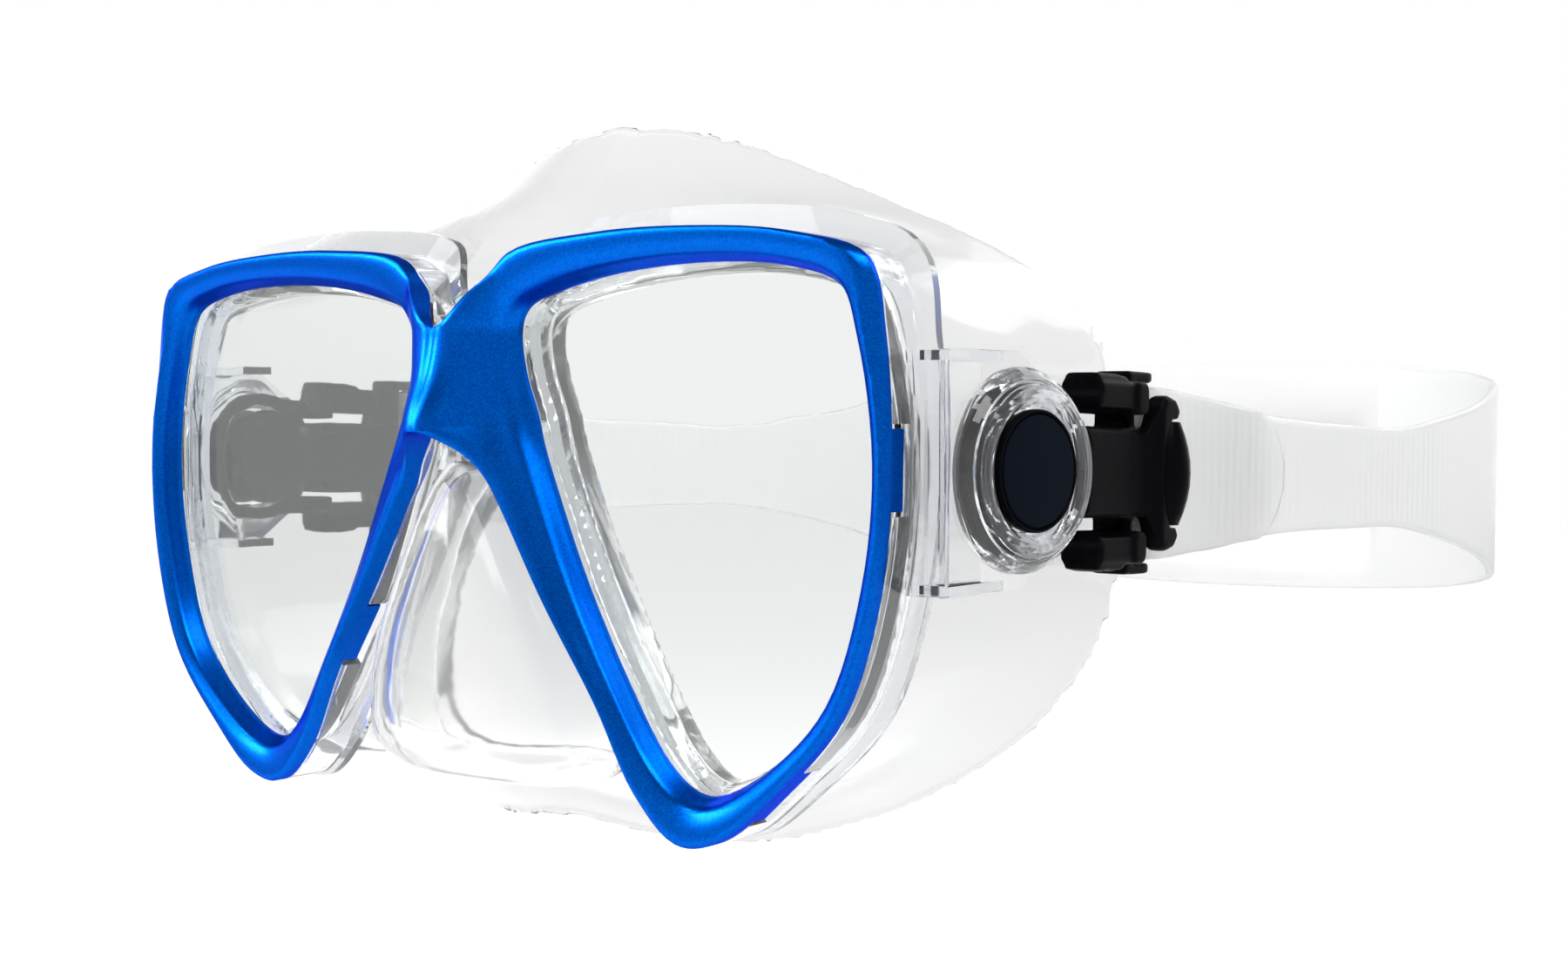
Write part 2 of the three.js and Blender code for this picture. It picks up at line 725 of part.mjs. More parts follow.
// The locking cam's crowned barrel, or the nest for it when it is grown by a gap
const camSteps = 8;
function camBarrel(gap) {
  const profile = [new THREE.Vector2(0, -camHalfHeight - gap)];
  for (let i = 0; i <= camSteps; i += 1) {
    const along = mix(-1, 1, i / camSteps);
    const crown = mix(camRadius, camEndRadius, along * along) + gap;
    profile.push(new THREE.Vector2(crown, along * (camHalfHeight + gap)));
  }
  profile.push(new THREE.Vector2(0, camHalfHeight + gap));
  const shape = new THREE.LatheGeometry(profile, smallSegments);
  shape.rotateX(Math.PI / 2);
  shape.translate(camX, camY, pivotZ);
  return solidOf(shape);
}

function pinOnZ(radius, x, y, halfLength, segments = smallSegments) {
  const geometry = new THREE.CylinderGeometry(radius, radius, 2 * halfLength, segments);
  geometry.rotateX(Math.PI / 2);
  geometry.translate(x, y, pivotZ);
  return solidOf(geometry);
}

function buckleBody() {
  const disc = discOnX(tongueRadius, tongueInnerX, tongueThickness);
  const tongue = boxBetween(
    [tongueInnerX, pivotY, pivotZ - tongueHalfWidth],
    [tongueOuterX, pivotY + armRootRadius + cutOverrun, pivotZ + tongueHalfWidth],
  );
  const blockEnd = crossBarY + crossBarDepth;
  const block = sidePlate(
    [
      [pivotY + tabStart, pivotZ - blockHalfHeight],
      [blockEnd, pivotZ - blockHalfHeight],
      [blockEnd, pivotZ + blockHalfHeight],
      [pivotY + tabStart, pivotZ + blockHalfHeight],
    ],
    blockInnerX,
    blockThickness,
    tabRound / 2,
  ).subtract(bossPassage);
  const barHalf = rollerHalfLength + seatGap + cheekThickness;
  const bar = boxBetween(
    [rollerX - cheekRadius, crossBarY, pivotZ - barHalf],
    [rollerX + cheekRadius, blockEnd, pivotZ + barHalf],
  );
  const cheeks = [-1, 1].map((side) => {
    const middle = side * (barHalf - cheekThickness / 2);
    const lug = pinOnZ(cheekRadius, rollerX, rollerY, cheekThickness / 2).translate([0, 0, middle]);
    const web = boxBetween(
      [rollerX - cheekRadius, crossBarY, pivotZ + middle - cheekThickness / 2],
      [rollerX + cheekRadius, rollerY, pivotZ + middle + cheekThickness / 2],
    );
    return lug.add(web);
  });
  const yokeEnd = crossBarY + yokeReach;
  const side = [
    [crossBarY - yokeReach / 2, blockHalfHeight - seatGap],
    [crossBarY - yokeReach / 5, yokeWaist],
    [crossBarY, yokeWaist + seatGap],
    [crossBarY + yokeReach / 6, (yokeWaist + yokeHalfHeight) / 2],
    [crossBarY + yokeReach / 3, yokeHalfHeight - seatGap],
    [crossBarY + yokeReach / 2, yokeHalfHeight],
    [yokeEnd - yokeReach / 5, yokeHalfHeight - seatGap],
    [yokeEnd, camHalfHeight + cheekThickness],
    [yokeEnd - yokeReach / 8, camHalfHeight],
  ];
  const outline = [
    ...side.map(([y, z]) => [y, pivotZ - z]),
    ...side.reverse().map(([y, z]) => [y, pivotZ + z]),
  ];
  const yoke = sidePlate(outline, yokeInnerX, yokeThickness, tabRound / 2).subtract(
    pinOnZ(
      yokeDishRadius,
      blockOuterX + yokeDishRadius,
      crossBarY - yokeReach / 2,
      yokeHalfHeight + cutOverrun,
      roundSegments,
    ),
  );
  const whole = joined([disc, tongue, block, bar, ...cheeks, yoke]);
  return [
    discOnX(studShankRadius + seatGap, 0, tongueOuterX + seatGap),
    camBarrel(seatGap),
    pinOnZ(pinRadius + seatGap, rollerX, rollerY, barHalf + cutOverrun),
    pinOnZ(pinRadius + seatGap, camX, camY, yokeHalfHeight + cutOverrun),
  ].reduce((left, cut) => left.subtract(cut), whole);
}

const buckle = buckleBody();
const rollerPin = pinOnZ(pinRadius, rollerX, rollerY, rollerHalfLength + seatGap + cheekThickness);
const rollerShape = new THREE.LatheGeometry(
  [
    [pinRadius + seatGap, -rollerHalfLength],
    [rollerRadius, -rollerHalfLength],
    [rollerRadius, rollerHalfLength],
    [pinRadius + seatGap, rollerHalfLength],
    [pinRadius + seatGap, -rollerHalfLength],
  ].map(([radius, y]) => new THREE.Vector2(radius, y)),
  smallSegments,
);
rollerShape.rotateX(Math.PI / 2);
rollerShape.translate(rollerX, rollerY, pivotZ);
const roller = solidOf(rollerShape);

// Locking cam: the barrel with a flat over the strap's tail, and a second flat before it that
// lies along the strap when the cam has swung open
function camCut(turn) {
  const reach = cutOverrun * camRadius;
  const halfHeight = camHalfHeight + cutOverrun;
  const cut = boxBetween([-reach, -reach, -halfHeight], [0, reach, halfHeight]);
  return cut.rotate([0, 0, turn]).translate([yokeInnerX, camY, pivotZ]);
}

const camPinHalf = yokeHalfHeight - seatGap;
const cam = camBarrel(0)
  .subtract(camCut(0))
  .subtract(camCut(camSwingDegrees))
  .subtract(pinOnZ(pinRadius + seatGap, camX, camY, camPinHalf));
const camPin = pinOnZ(pinRadius, camX, camY, camPinHalf - seatGap);

// Strap: one flat band from the left tail round both rollers and behind the head
const tailX = rollerX + wrapRadius;
const mainX = rollerX - wrapRadius;
const layerX = tailX - strapThickness - seatGap;
const wrapTurns = 6;
const tailSquareShare = 0.5;

// Behind the tail's end: shares of the strap's side place, of the way back and of the pad's width
const rearShares = [
  [1, 0.232, 0.34],
  [0.996, 0.4, 0.35],
  [0.994, 0.56, 0.45],
  [0.986, 0.69, 0.56],
  [0.966, 0.789, 0.69],
  [0.914, 0.873, 0.8],
  [0.757, 0.944, 0.9],
  [0.418, 0.986, 0.97],
];

const strapSideX = badgeFaceX - strapTuck;

// The strap's points from its left tail to behind the head, each with half its width there
function strapSide() {
  const full = strapWidth / 2;
  const tail = strapTailWidth / 2;
  const points = [
    [tailX, tailEndY, tail],
    [tailX, mix(tailEndY, rollerY, tailSquareShare), mix(full, tail, tailSquareShare)],
    [tailX, rollerY + wrapRadius, full],
  ];
  for (let i = 0; i <= wrapTurns; i += 1) {
    const angle = (-Math.PI * i) / wrapTurns;
    points.push([rollerX + wrapRadius * Math.cos(angle), rollerY + wrapRadius * Math.sin(angle), full]);
  }
  points.push([mainX + seatGap, rollerY + 2 * wrapRadius, full]);
  points.push([layerX, rollerY + layerEaseLength, mix(full, tail, 1 / 4)]);
  points.push([layerX, tailEndY, tail]);
  for (const [across, along, wide] of rearShares) {
    points.push([strapSideX * across, mix(tailEndY, strapRearY, along), (wide * strapPadWidth) / 2]);
  }
  return points;
}

const leftRun = strapSide();
const strapRun = [
  ...leftRun,
  [0, strapRearY, strapPadWidth / 2],
  ...[...leftRun].reverse().map(([x, y, half]) => [-x, y, half]),
];
const strapLine = lineThrough(strapRun, false);
const strapSteps = 2;
const tailEndShares = [0.62, 0.86, 0.95];
const strapRows = [];
const strapLast = (strapRun.length - 1) * strapSteps;
for (let i = 0; i <= strapLast; i += 1) {
  const station = i / strapSteps;
  const at = strapLine(station);
  const before = strapLine(Math.max(station - tangentStep, 0));
  const after = strapLine(Math.min(station + tangentStep, strapRun.length - 1));
  const along = new THREE.Vector2(after.x - before.x, after.y - before.y).normalize();
  const side = new THREE.Vector2(-along.y, along.x).multiplyScalar(strapThickness / 2);
  const fromEnd = Math.min(i, strapLast - i);
  const half = at.z * (tailEndShares[fromEnd] ?? 1);
  strapRows.push([
    [at.x + side.x, at.y + side.y, pivotZ + half],
    [at.x + side.x, at.y + side.y, pivotZ - half],
    [at.x - side.x, at.y - side.y, pivotZ - half],
    [at.x - side.x, at.y - side.y, pivotZ + half],
  ]);
}
const slotShape = new THREE.Shape();
const slotStraight = slotHalfLength - slotHalfHeight;
slotShape.absarc(slotStraight, pivotZ, slotHalfHeight, -Math.PI / 2, Math.PI / 2);
slotShape.absarc(-slotStraight, pivotZ, slotHalfHeight, Math.PI / 2, 1.5 * Math.PI);
const slotCut = new THREE.ExtrudeGeometry(slotShape, {
  depth: strapRearY,
  bevelEnabled: false,
  curveSegments: smallSegments / 2,
});
slotCut.rotateX(Math.PI / 2);
slotCut.translate(0, strapRearY + cutOverrun, 0);
const headStrap = loftSolid(strapRows).subtract(solidOf(slotCut));

// Skirt: shares of its half width, depth and height where its side wall turns out and where its
// face seal ends, by the station of the rim that each lies behind
const skirtShares = [
  [0, 0.288, 0.75, 0, 0.485, 1],
  [0.13, 0.288, 0.758, 0.144, 0.5, 0.98],
  [0.245, 0.295, 0.758, 0.274, 0.53, 0.95],
  [0.462, 0.318, 0.742, 0.476, 0.568, 0.858],
  [0.678, 0.348, 0.7, 0.664, 0.636, 0.762],
  [0.837, 0.394, 0.638, 0.823, 0.72, 0.67],
  [0.926, 0.455, 0.563, 0.938, 0.818, 0.562],
  [0.986, 0.576, 0.408, 0.999, 0.924, 0.408],
  [0.993, 0.636, 0.133, 1, 0.992, 0.133],
  [0.99, 0.644, -0.144, 0.996, 1, -0.165],
  [0.938, 0.545, -0.423, 0.96, 0.939, -0.433],
  [0.823, 0.47, -0.629, 0.859, 0.818, -0.68],
  [0.678, 0.409, -0.763, 0.693, 0.667, -0.866],
  [0.577, 0.379, -0.825, 0.577, 0.576, -0.938],
  [0.462, 0.333, -0.845, 0.447, 0.485, -0.99],
  [0.354, 0.295, -0.841, 0.31, 0.409, -1],
  [0.245, 0.273, -0.825, 0.202, 0.364, -0.99],
  [0.144, 0.258, -0.808, 0.115, 0.341, -0.973],
  [0.072, 0.247, -0.792, 0.058, 0.333, -0.963],
  [0, 0.242, -0.784, 0, 0.333, -0.959],
];
const skirtPoint = ([u, w, v]) => [
  u * skirtHalfWidth,
  w * skirtDepth,
  v * (v > 0 ? skirtTopZ : skirtBottomZ),
];
const skirtTurnLine = lineThrough(skirtShares.map((row) => skirtPoint(row.slice(0, 3))), false);
const skirtEdgeLine = lineThrough(skirtShares.map((row) => skirtPoint(row.slice(3))), false);

// One full loop of the skirt from its left half, which starts and ends on the mid plane
function bothSides(half) {
  const last = half.length - 1;
  const left = half.map(([x, y, z], k) => [k === 0 || k === last ? 0 : x, y, z]);
  return [...left, ...left.slice(1, last).reverse().map(([x, y, z]) => [-x, y, z])];
}

function skirtLoop(reader) {
  const half = [];
  const last = (stationCount - bridgeStations) * stationSteps;
  for (let i = 0; i <= last; i += 1) {
    half.push(reader(i / stationSteps));
  }
  return bothSides(half);
}

const sweptDepth = (x) => wrapSlope * (x - wrapCentreX);
const skirtFront = (inset, depth) =>
  skirtLoop((run) => {
    const [x, z] = besideRim(run + bridgeStations, -inset);
    return [Math.max(x, 0), depth + sweptDepth(Math.max(x, 0)), z];
  });
const skirtRow = (line) =>
  skirtLoop((run) => {
    const at = line(run);
    return [at.x, at.y, at.z];
  });

// The same loop drawn in by a margin, seen from the front, and moved back
function drawnIn(loop, margin, push) {
  const count = loop.length;
  return loop.map(([x, y, z], k) => {
    const before = loop[(k + count - 1) % count];
    const after = loop[(k + 1) % count];
    const along = new THREE.Vector2(after[0] - before[0], after[2] - before[2]).normalize();
    return [x + along.y * margin, y + push, z - along.x * margin];
  });
}

// Nose pocket: level sections from its top down, as shares of its height, half width and reach
const pocketShares = [
  [0, 0.1, 0.76],
  [0.1, 0.29, 0.86],
  [0.31, 0.56, 0.95],
  [0.53, 0.8, 1],
  [0.74, 0.95, 0.98],
  [0.87, 1, 0.9],
  [0.957, 0.9, 0.71],
  [1, 0.68, 0.43],
];
const pocketSquareShare = 0.55;
function pocketSection(level, wall, backY) {
  const [down, wide, reach] = level;
  const z = mix(pocketTopZ - wall, pocketTopZ - pocketHeight + wall, down);
  const halfWidth = Math.max(wide * pocketHalfWidth - wall, wall / 2);
  const frontY = mix(pocketBackY, pocketFrontY + wall, reach);
  const loop = [];
  for (let i = 0; i <= smallSegments; i += 1) {
    const angle = (Math.PI * i) / smallSegments;
    const x = Math.sign(Math.cos(angle)) * Math.abs(Math.cos(angle)) ** pocketSquareShare;
    const y = Math.abs(Math.sin(angle)) ** pocketSquareShare;
    loop.push([x * halfWidth, mix(backY, frontY, y), z]);
  }
  return loop;
}

const pocket = (wall, backY) =>
  loftSolid(pocketShares.map((level) => pocketSection(level, wall, backY)), true);

// Neck: the part of the skirt that passes the frame's web and seals against the lens
const skirtFrontY = webRear + seatGap;
function neck() {
  const flangeMargin = lensMargin;
  const passMargin = apertureMargin - seatGap;
  const flangeRear = gasketFront + gasketThickness;
  return loftSolid([
    aroundOpening(flangeMargin, gasketFront, true),
    aroundOpening(flangeMargin, flangeRear, true),
    aroundOpening(passMargin, flangeRear, true),
    aroundOpening(passMargin, skirtFrontY + skirtWall / 2, true),
  ]);
}

function faceSkirt() {
  const turn = skirtRow(skirtTurnLine);
  const edge = skirtRow(skirtEdgeLine);
  const shell = loftSolid([skirtFront(skirtInset, skirtFrontY), turn, edge]);
  const innerEdge = drawnIn(edge, skirtLip, 0);
  const cavity = loftSolid([
    skirtFront(skirtInset + skirtWall, skirtFrontY + skirtWall),
    drawnIn(turn, skirtWall, 0),
    innerEdge,
    drawnIn(innerEdge, 0, skirtWall * cutOverrun),
  ]);
  const eye = neck();
  const eyeCut = loftSolid([
    aroundOpening(-neckInset, gasketFront - cutOverrun),
    aroundOpening(-neckInset, skirtFrontY + skirtWall + cutOverrun),
  ]);
  const outside = joined([shell, pocket(0, pocketBackY), eye, mirrored(eye)]);
  const hollows = [cavity, pocket(skirtWall, pocketOpenY), eyeCut, mirrored(eyeCut)];
  return hollows.reduce((left, cut) => left.subtract(cut), outside);
}

export default (() => {
  const mask = new THREE.Group();
  mask.add(meshOf("front_bezel", frontBezel, bluePlastic));
  mask.add(meshOf("main_frame", mainFrame, clearPlastic));
  mask.add(meshOf("face_skirt", faceSkirt(), clearSilicone));
  const hung = new THREE.Group();
  hung.add(meshOf("head_strap", headStrap.translate([0, -pivotY, -pivotZ]), clearSilicone));
  const pieces = [
    ["lens", lensPlate, lensGlass],
    ["swivel_stud", stud, blackPlastic],
    ["badge_disc", badge, mattBlack],
  ];
  const hungPieces = [
    ["clip_ring", clipRing, blackPlastic],
    ["upper_release_arm", upperArm, blackPlastic],
    ["lower_release_arm", lowerArm, blackPlastic],
    ["buckle_body", buckle, blackPlastic],
    ["strap_roller", roller, blackPlastic],
    ["roller_pin", rollerPin, steel],
    ["locking_cam", cam, blackPlastic],
    ["cam_pin", camPin, steel],
  ];
  for (const [name, made, material] of pieces) {
    mask.add(meshOf("left_" + name, made, material));
    mask.add(meshOf("right_" + name, mirrored(made), material));
  }
  for (const [name, made, material] of hungPieces) {
    const fromPivot = made.translate([0, -pivotY, -pivotZ]);
    hung.add(meshOf("left_" + name, fromPivot, material));
    hung.add(meshOf("right_" + name, mirrored(fromPivot), material));
  }
  hung.position.set(0, pivotY, pivotZ);
  hung.rotation.x = THREE.MathUtils.degToRad(-strapDropDegrees);
  mask.add(hung);
  mask.position.y = -sealDepth;
  return mask;
})();
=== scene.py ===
import math

import bmesh
import bpy
from mathutils import Matrix, Vector


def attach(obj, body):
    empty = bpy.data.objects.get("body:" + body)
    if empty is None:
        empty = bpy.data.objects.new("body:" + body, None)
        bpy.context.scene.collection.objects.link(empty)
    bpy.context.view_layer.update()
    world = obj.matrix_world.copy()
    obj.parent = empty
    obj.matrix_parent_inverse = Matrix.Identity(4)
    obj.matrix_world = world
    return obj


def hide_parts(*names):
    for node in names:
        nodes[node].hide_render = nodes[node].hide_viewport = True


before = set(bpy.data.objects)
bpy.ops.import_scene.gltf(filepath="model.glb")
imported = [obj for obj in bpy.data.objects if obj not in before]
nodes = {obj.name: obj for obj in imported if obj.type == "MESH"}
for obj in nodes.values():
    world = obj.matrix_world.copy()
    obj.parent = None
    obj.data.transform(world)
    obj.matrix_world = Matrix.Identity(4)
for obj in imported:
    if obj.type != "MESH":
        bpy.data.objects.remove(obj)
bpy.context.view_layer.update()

scene = bpy.context.scene
MM = 0.001

# Camera: stands in front of the wearer's left, a little above the middle of the mask, and looks
# back at it through a longish lens.
camera_place = Vector((216.07, -247.65, 15.31)) * MM
camera_turn = -0.6476
camera_drop = -0.0314
camera_lens = 48
level = math.cos(camera_drop)
look = Vector(
    (math.sin(camera_turn) * level, math.cos(camera_turn) * level, math.sin(camera_drop))
)
right = Vector((math.cos(camera_turn), -math.sin(camera_turn), 0))
camera_axes = Matrix((right, right.cross(look), -look)).transposed()
camera_data = bpy.data.cameras.new("photo_camera")
camera_data.lens = camera_lens
camera = bpy.data.objects.new("photo_camera", camera_data)
camera.matrix_world = Matrix.Translation(camera_place) @ camera_axes.to_4x4()
scene.collection.objects.link(camera)
scene.camera = camera
scene.view_settings.view_transform = "Standard"

# Light: a pale room with soft lamps at the front, side and back, one that the bridge mirrors and
# a small one for sparks. Clear parts show a white sweep behind the mask under a ceiling that is
# dim where they mirror it, pale where they are looked through, and brighter towards one side.
room_grey = 0.62
ceiling_grey = 0.2
seen_through_grey = 0.72
sweep_grey = 0.9
sweep_top = (0.3, 0.62)
glow_side = (-0.75, 0.66, 0)
glow_spread = (-0.2, 0.75)
glow_strength = (0.8, 1.7)
lamp_sides = [
    ("window_lamp", (-350, -520, 520), 420, 1.5),
    ("side_lamp", (430, -210, 560), 320, 2.8),
    ("back_lamp", (180, 620, 420), 420, 1.3),
    ("bridge_lamp", (-465, -455, 240), 240, 2.6),
    ("spark_lamp", (-300, -420, 560), 30, 0.5),
]


def add_node(tree, kind, **values):
    node = tree.nodes.new(kind)
    for name, value in values.items():
        setattr(node, name, value)
    return node


def set_range(node, end, low_high):
    """Sets the two limits of a Map Range node's From or To end."""
    node.inputs[end + " Min"].default_value, node.inputs[end + " Max"].default_value = low_high


def grey(level):
    return (level, level, level, 1)


world = bpy.data.worlds.new("pale_room")
world.use_nodes = True
room = world.node_tree
room.nodes.clear()
rays = add_node(room, "ShaderNodeLightPath")
direction = add_node(room, "ShaderNodeTexCoord")

upward = add_node(room, "ShaderNodeSeparateXYZ")
rise = add_node(room, "ShaderNodeMapRange", interpolation_type="SMOOTHSTEP")
set_range(rise, "From", sweep_top)
ceiling = add_node(room, "ShaderNodeMix", data_type="RGBA")
ceiling.inputs["A"].default_value = grey(ceiling_grey)
ceiling.inputs["B"].default_value = grey(seen_through_grey)
sweep = add_node(room, "ShaderNodeMix", data_type="RGBA")
sweep.inputs["A"].default_value = grey(sweep_grey)
surroundings = add_node(room, "ShaderNodeBackground")
room.links.new(direction.outputs["Generated"], upward.inputs[0])
room.links.new(upward.outputs["Z"], rise.inputs["Value"])
room.links.new(rays.outputs["Is Transmission Ray"], ceiling.inputs["Factor"])
room.links.new(rise.outputs["Result"], sweep.inputs["Factor"])
room.links.new(ceiling.outputs["Result"], sweep.inputs["B"])
room.links.new(sweep.outputs["Result"], surroundings.inputs["Color"])

sideward = add_node(room, "ShaderNodeVectorMath", operation="DOT_PRODUCT")
sideward.inputs[1].default_value = glow_side
glow = add_node(room, "ShaderNodeMapRange", interpolation_type="SMOOTHSTEP")
set_range(glow, "From", glow_spread)
set_range(glow, "To", glow_strength)
glow_or_even = add_node(room, "ShaderNodeMix", data_type="FLOAT")
glow_or_even.inputs["B"].default_value = 1
room.links.new(direction.outputs["Generated"], sideward.inputs[0])
room.links.new(sideward.outputs["Value"], glow.inputs["Value"])
room.links.new(rays.outputs["Is Transmission Ray"], glow_or_even.inputs["Factor"])
room.links.new(glow.outputs["Result"], glow_or_even.inputs["A"])
room.links.new(glow_or_even.outputs["Result"], surroundings.inputs["Strength"])

room_light = add_node(room, "ShaderNodeBackground")
room_light.inputs["Color"].default_value = grey(room_grey)
white = add_node(room, "ShaderNodeBackground")
white.inputs["Color"].default_value = grey(1)
clear_ray = add_node(room, "ShaderNodeMath", operation="MAXIMUM")
around = add_node(room, "ShaderNodeMixShader")
seen = add_node(room, "ShaderNodeMixShader")
out = add_node(room, "ShaderNodeOutputWorld")
room.links.new(rays.outputs["Is Glossy Ray"], clear_ray.inputs[0])
room.links.new(rays.outputs["Is Transmission Ray"], clear_ray.inputs[1])
room.links.new(clear_ray.outputs[0], around.inputs[0])
room.links.new(room_light.outputs[0], around.inputs[1])
room.links.new(surroundings.outputs[0], around.inputs[2])
room.links.new(rays.outputs["Is Camera Ray"], seen.inputs[0])
room.links.new(around.outputs[0], seen.inputs[1])
room.links.new(white.outputs[0], seen.inputs[2])
room.links.new(seen.outputs[0], out.inputs["Surface"])
scene.world = world

for name, place, width, power in lamp_sides:
    lamp_data = bpy.data.lights.new(name, "AREA")
    lamp_data.size = width * MM
    lamp_data.energy = power
    lamp = bpy.data.objects.new(name, lamp_data)
    spot = Vector(place) * MM
    aimed = spot.to_track_quat("Z", "Y").to_matrix().to_4x4()
    lamp.matrix_world = Matrix.Translation(spot) @ aimed
    scene.collection.objects.link(lamp)

# Floor: a pale matt table well under the mask, as if the mask hung on a stand. It glows a little
# where it is looked at or mirrored, more so far from the mask.
floor_drop = -170 * MM
floor_half = 3000 * MM
floor_glow = 0.45
floor_distance = (0.3, 0.6)
floor_mirrored_glow = (0.4, 0.55)


def plain_material(name):
    """A material with its Principled shader, and its nodes to add to."""
    material = bpy.data.materials.new(name)
    material.use_nodes = True
    return material, material.node_tree, material.node_tree.nodes["Principled BSDF"]


floor_paint, tree, shader = plain_material("floor_paint")
grain = add_node(tree, "ShaderNodeTexNoise")
grain.inputs["Scale"].default_value = 3
ramp = add_node(tree, "ShaderNodeValToRGB")
ramp.color_ramp.elements[0].color = grey(0.9)
ramp.color_ramp.elements[1].color = grey(0.96)
tree.links.new(grain.outputs["Fac"], ramp.inputs["Fac"])
tree.links.new(ramp.outputs["Color"], shader.inputs["Base Color"])
shader.inputs["Roughness"].default_value = 0.9
rays = add_node(tree, "ShaderNodeLightPath")
where = add_node(tree, "ShaderNodeTexCoord")
distance = add_node(tree, "ShaderNodeVectorMath", operation="LENGTH")
far = add_node(tree, "ShaderNodeMapRange")
set_range(far, "From", floor_distance)
set_range(far, "To", floor_mirrored_glow)
clear_ray = add_node(tree, "ShaderNodeMath", operation="MAXIMUM")
mirrored_glow = add_node(tree, "ShaderNodeMath", operation="MULTIPLY")
any_ray = add_node(tree, "ShaderNodeMath", operation="MAXIMUM")
glow = add_node(tree, "ShaderNodeMath", operation="MULTIPLY")
glow.inputs[1].default_value = floor_glow
tree.links.new(where.outputs["Object"], distance.inputs[0])
tree.links.new(distance.outputs["Value"], far.inputs["Value"])
tree.links.new(rays.outputs["Is Glossy Ray"], clear_ray.inputs[0])
tree.links.new(rays.outputs["Is Transmission Ray"], clear_ray.inputs[1])
tree.links.new(clear_ray.outputs[0], mirrored_glow.inputs[0])
tree.links.new(far.outputs["Result"], mirrored_glow.inputs[1])
tree.links.new(rays.outputs["Is Camera Ray"], any_ray.inputs[0])
tree.links.new(mirrored_glow.outputs[0], any_ray.inputs[1])
tree.links.new(any_ray.outputs[0], glow.inputs[0])
tree.links.new(glow.outputs[0], shader.inputs["Emission Strength"])
shader.inputs["Emission Color"].default_value = grey(1)
floor_mesh = bmesh.new()
bmesh.ops.create_grid(floor_mesh, x_segments=1, y_segments=1, size=floor_half)
bmesh.ops.translate(floor_mesh, verts=floor_mesh.verts, vec=(0, 0, floor_drop))
floor_data = bpy.data.meshes.new("floor")
floor_mesh.to_mesh(floor_data)
floor_mesh.free()
floor_data.materials.append(floor_paint)
floor = bpy.data.objects.new("floor", floor_data)
scene.collection.objects.link(floor)

# Front bezel: one glossy blue moulding round both eye openings, with metal flake in the plastic.
# Its band rises from a thin lip over a crest and falls to the rim, where the clear frame starts.
seal_depth = 36
opening_nose_x = 10.3
opening_width = 59.3
opening_height = 70
band_width = 5
wrap_slope = 0.0426
wrap_centre = 35
wrap_blend = 4
bridge_rise = 6
bridge_reach = 9.5
bridge_ease = 0.7
bridge_end = 1.6
lip = 0.8
crest = -3.3
rim = -1.7
rim_edge = 0.6
frame_wall = 1.5
seat_gap = 0.3
weld = 0.002 * MM
eye_shares = [
    (0.052, 0.429, 0, -0.46, 0.45),
    (0.015, 0.6, 0, -0.2, 0.5),
    (0.002, 0.771, 0, 0.04, 0.7),
    (0.029, 0.857, -1.1, 0.6, 0.9),
    (0.121, 0.914, -1.3, 1.08, 1),
    (0.298, 0.974, -0.4, 1.08, 1),
    (0.56, 1, -0.1, 0.92, 1),
    (0.771, 0.971, 0.4, 0.84, 0.95),
    (0.906, 0.891, 0.98, 0.68, 0.8),
    (0.956, 0.7, 0.88, 0.1, 0.6),
    (1, 0.257, 0.52, 0, 0.55),
    (0.973, -0.171, 0.57, -0.2, 0.45),
    (0.885, -0.6, 0.54, -0.36, 0.4),
    (0.737, -0.857, 0.34, -0.7, 0.25),
    (0.594, -0.994, 0.22, -1.16, 0.15),
    (0.526, -0.997, -0.3, -1.3, 0.15),
    (0.442, -0.9, -0.62, -0.8, 0.25),
    (0.324, -0.606, -0.5, -0.46, 0.4),
    (0.203, -0.229, -0.92, -0.3, 0.45),
    (0.108, 0.143, -1.44, -0.2, 0.45),
    (0.07, 0.314, -1.97, -0.08, 0.45),
]
station_count = len(eye_shares)
bridge_stations = 2
station_steps = 6
tangent_step = 0.02
stations = [i / station_steps for i in range(station_count * station_steps)]


def mix(a, b, share):
    return a + (b - a) * share


def smooth(low, high, value):
    share = min(max((value - low) / (high - low), 0), 1)
    return share * share * (3 - 2 * share)


def line_through(points, closed=False):
    """A smooth line through points, read by station number."""
    places = [Vector(point) for point in points]
    last = len(places) - 1

    def point(i):
        if closed:
            return places[i % len(places)]
        if i < 0:
            return 2 * places[0] - places[1]
        return places[i] if i <= last else 2 * places[last] - places[last - 1]

    def read(station):
        start = math.floor(station) if closed else min(max(math.floor(station), 0), last - 1)
        share = station - start
        a, b, c, d = (point(start + i) for i in (-1, 0, 1, 2))
        ab, bc, cd = (max(math.sqrt((q - p).length), 1e-6) for p, q in ((a, b), (b, c), (c, d)))
        leave = ((b - a) / ab - (c - a) / (ab + bc) + (c - b) / bc) * bc
        arrive = ((c - b) / bc - (d - b) / (bc + cd) + (d - c) / cd) * bc
        square = (3 * (c - b) - 2 * leave - arrive) * share**2
        return b + leave * share + square + (2 * (b - c) + leave + arrive) * share**3

    return read


opening_points = [
    (opening_nose_x + u * opening_width, v * opening_height / 2) for u, v, *_ in eye_shares
]
rim_points = [
    (0 if k <= bridge_stations else x + du * band_width, z + dv * band_width)
    for k, ((x, z), (_, _, du, dv, _)) in enumerate(zip(opening_points, eye_shares))
]
opening_line = line_through(opening_points, closed=True)
rim_run = rim_points[bridge_stations:] + rim_points[:1]


def mirrored(point):
    return (-point[0], point[1])


rim_line = line_through([mirrored(rim_run[1])] + rim_run + [mirrored(rim_points[-1])])


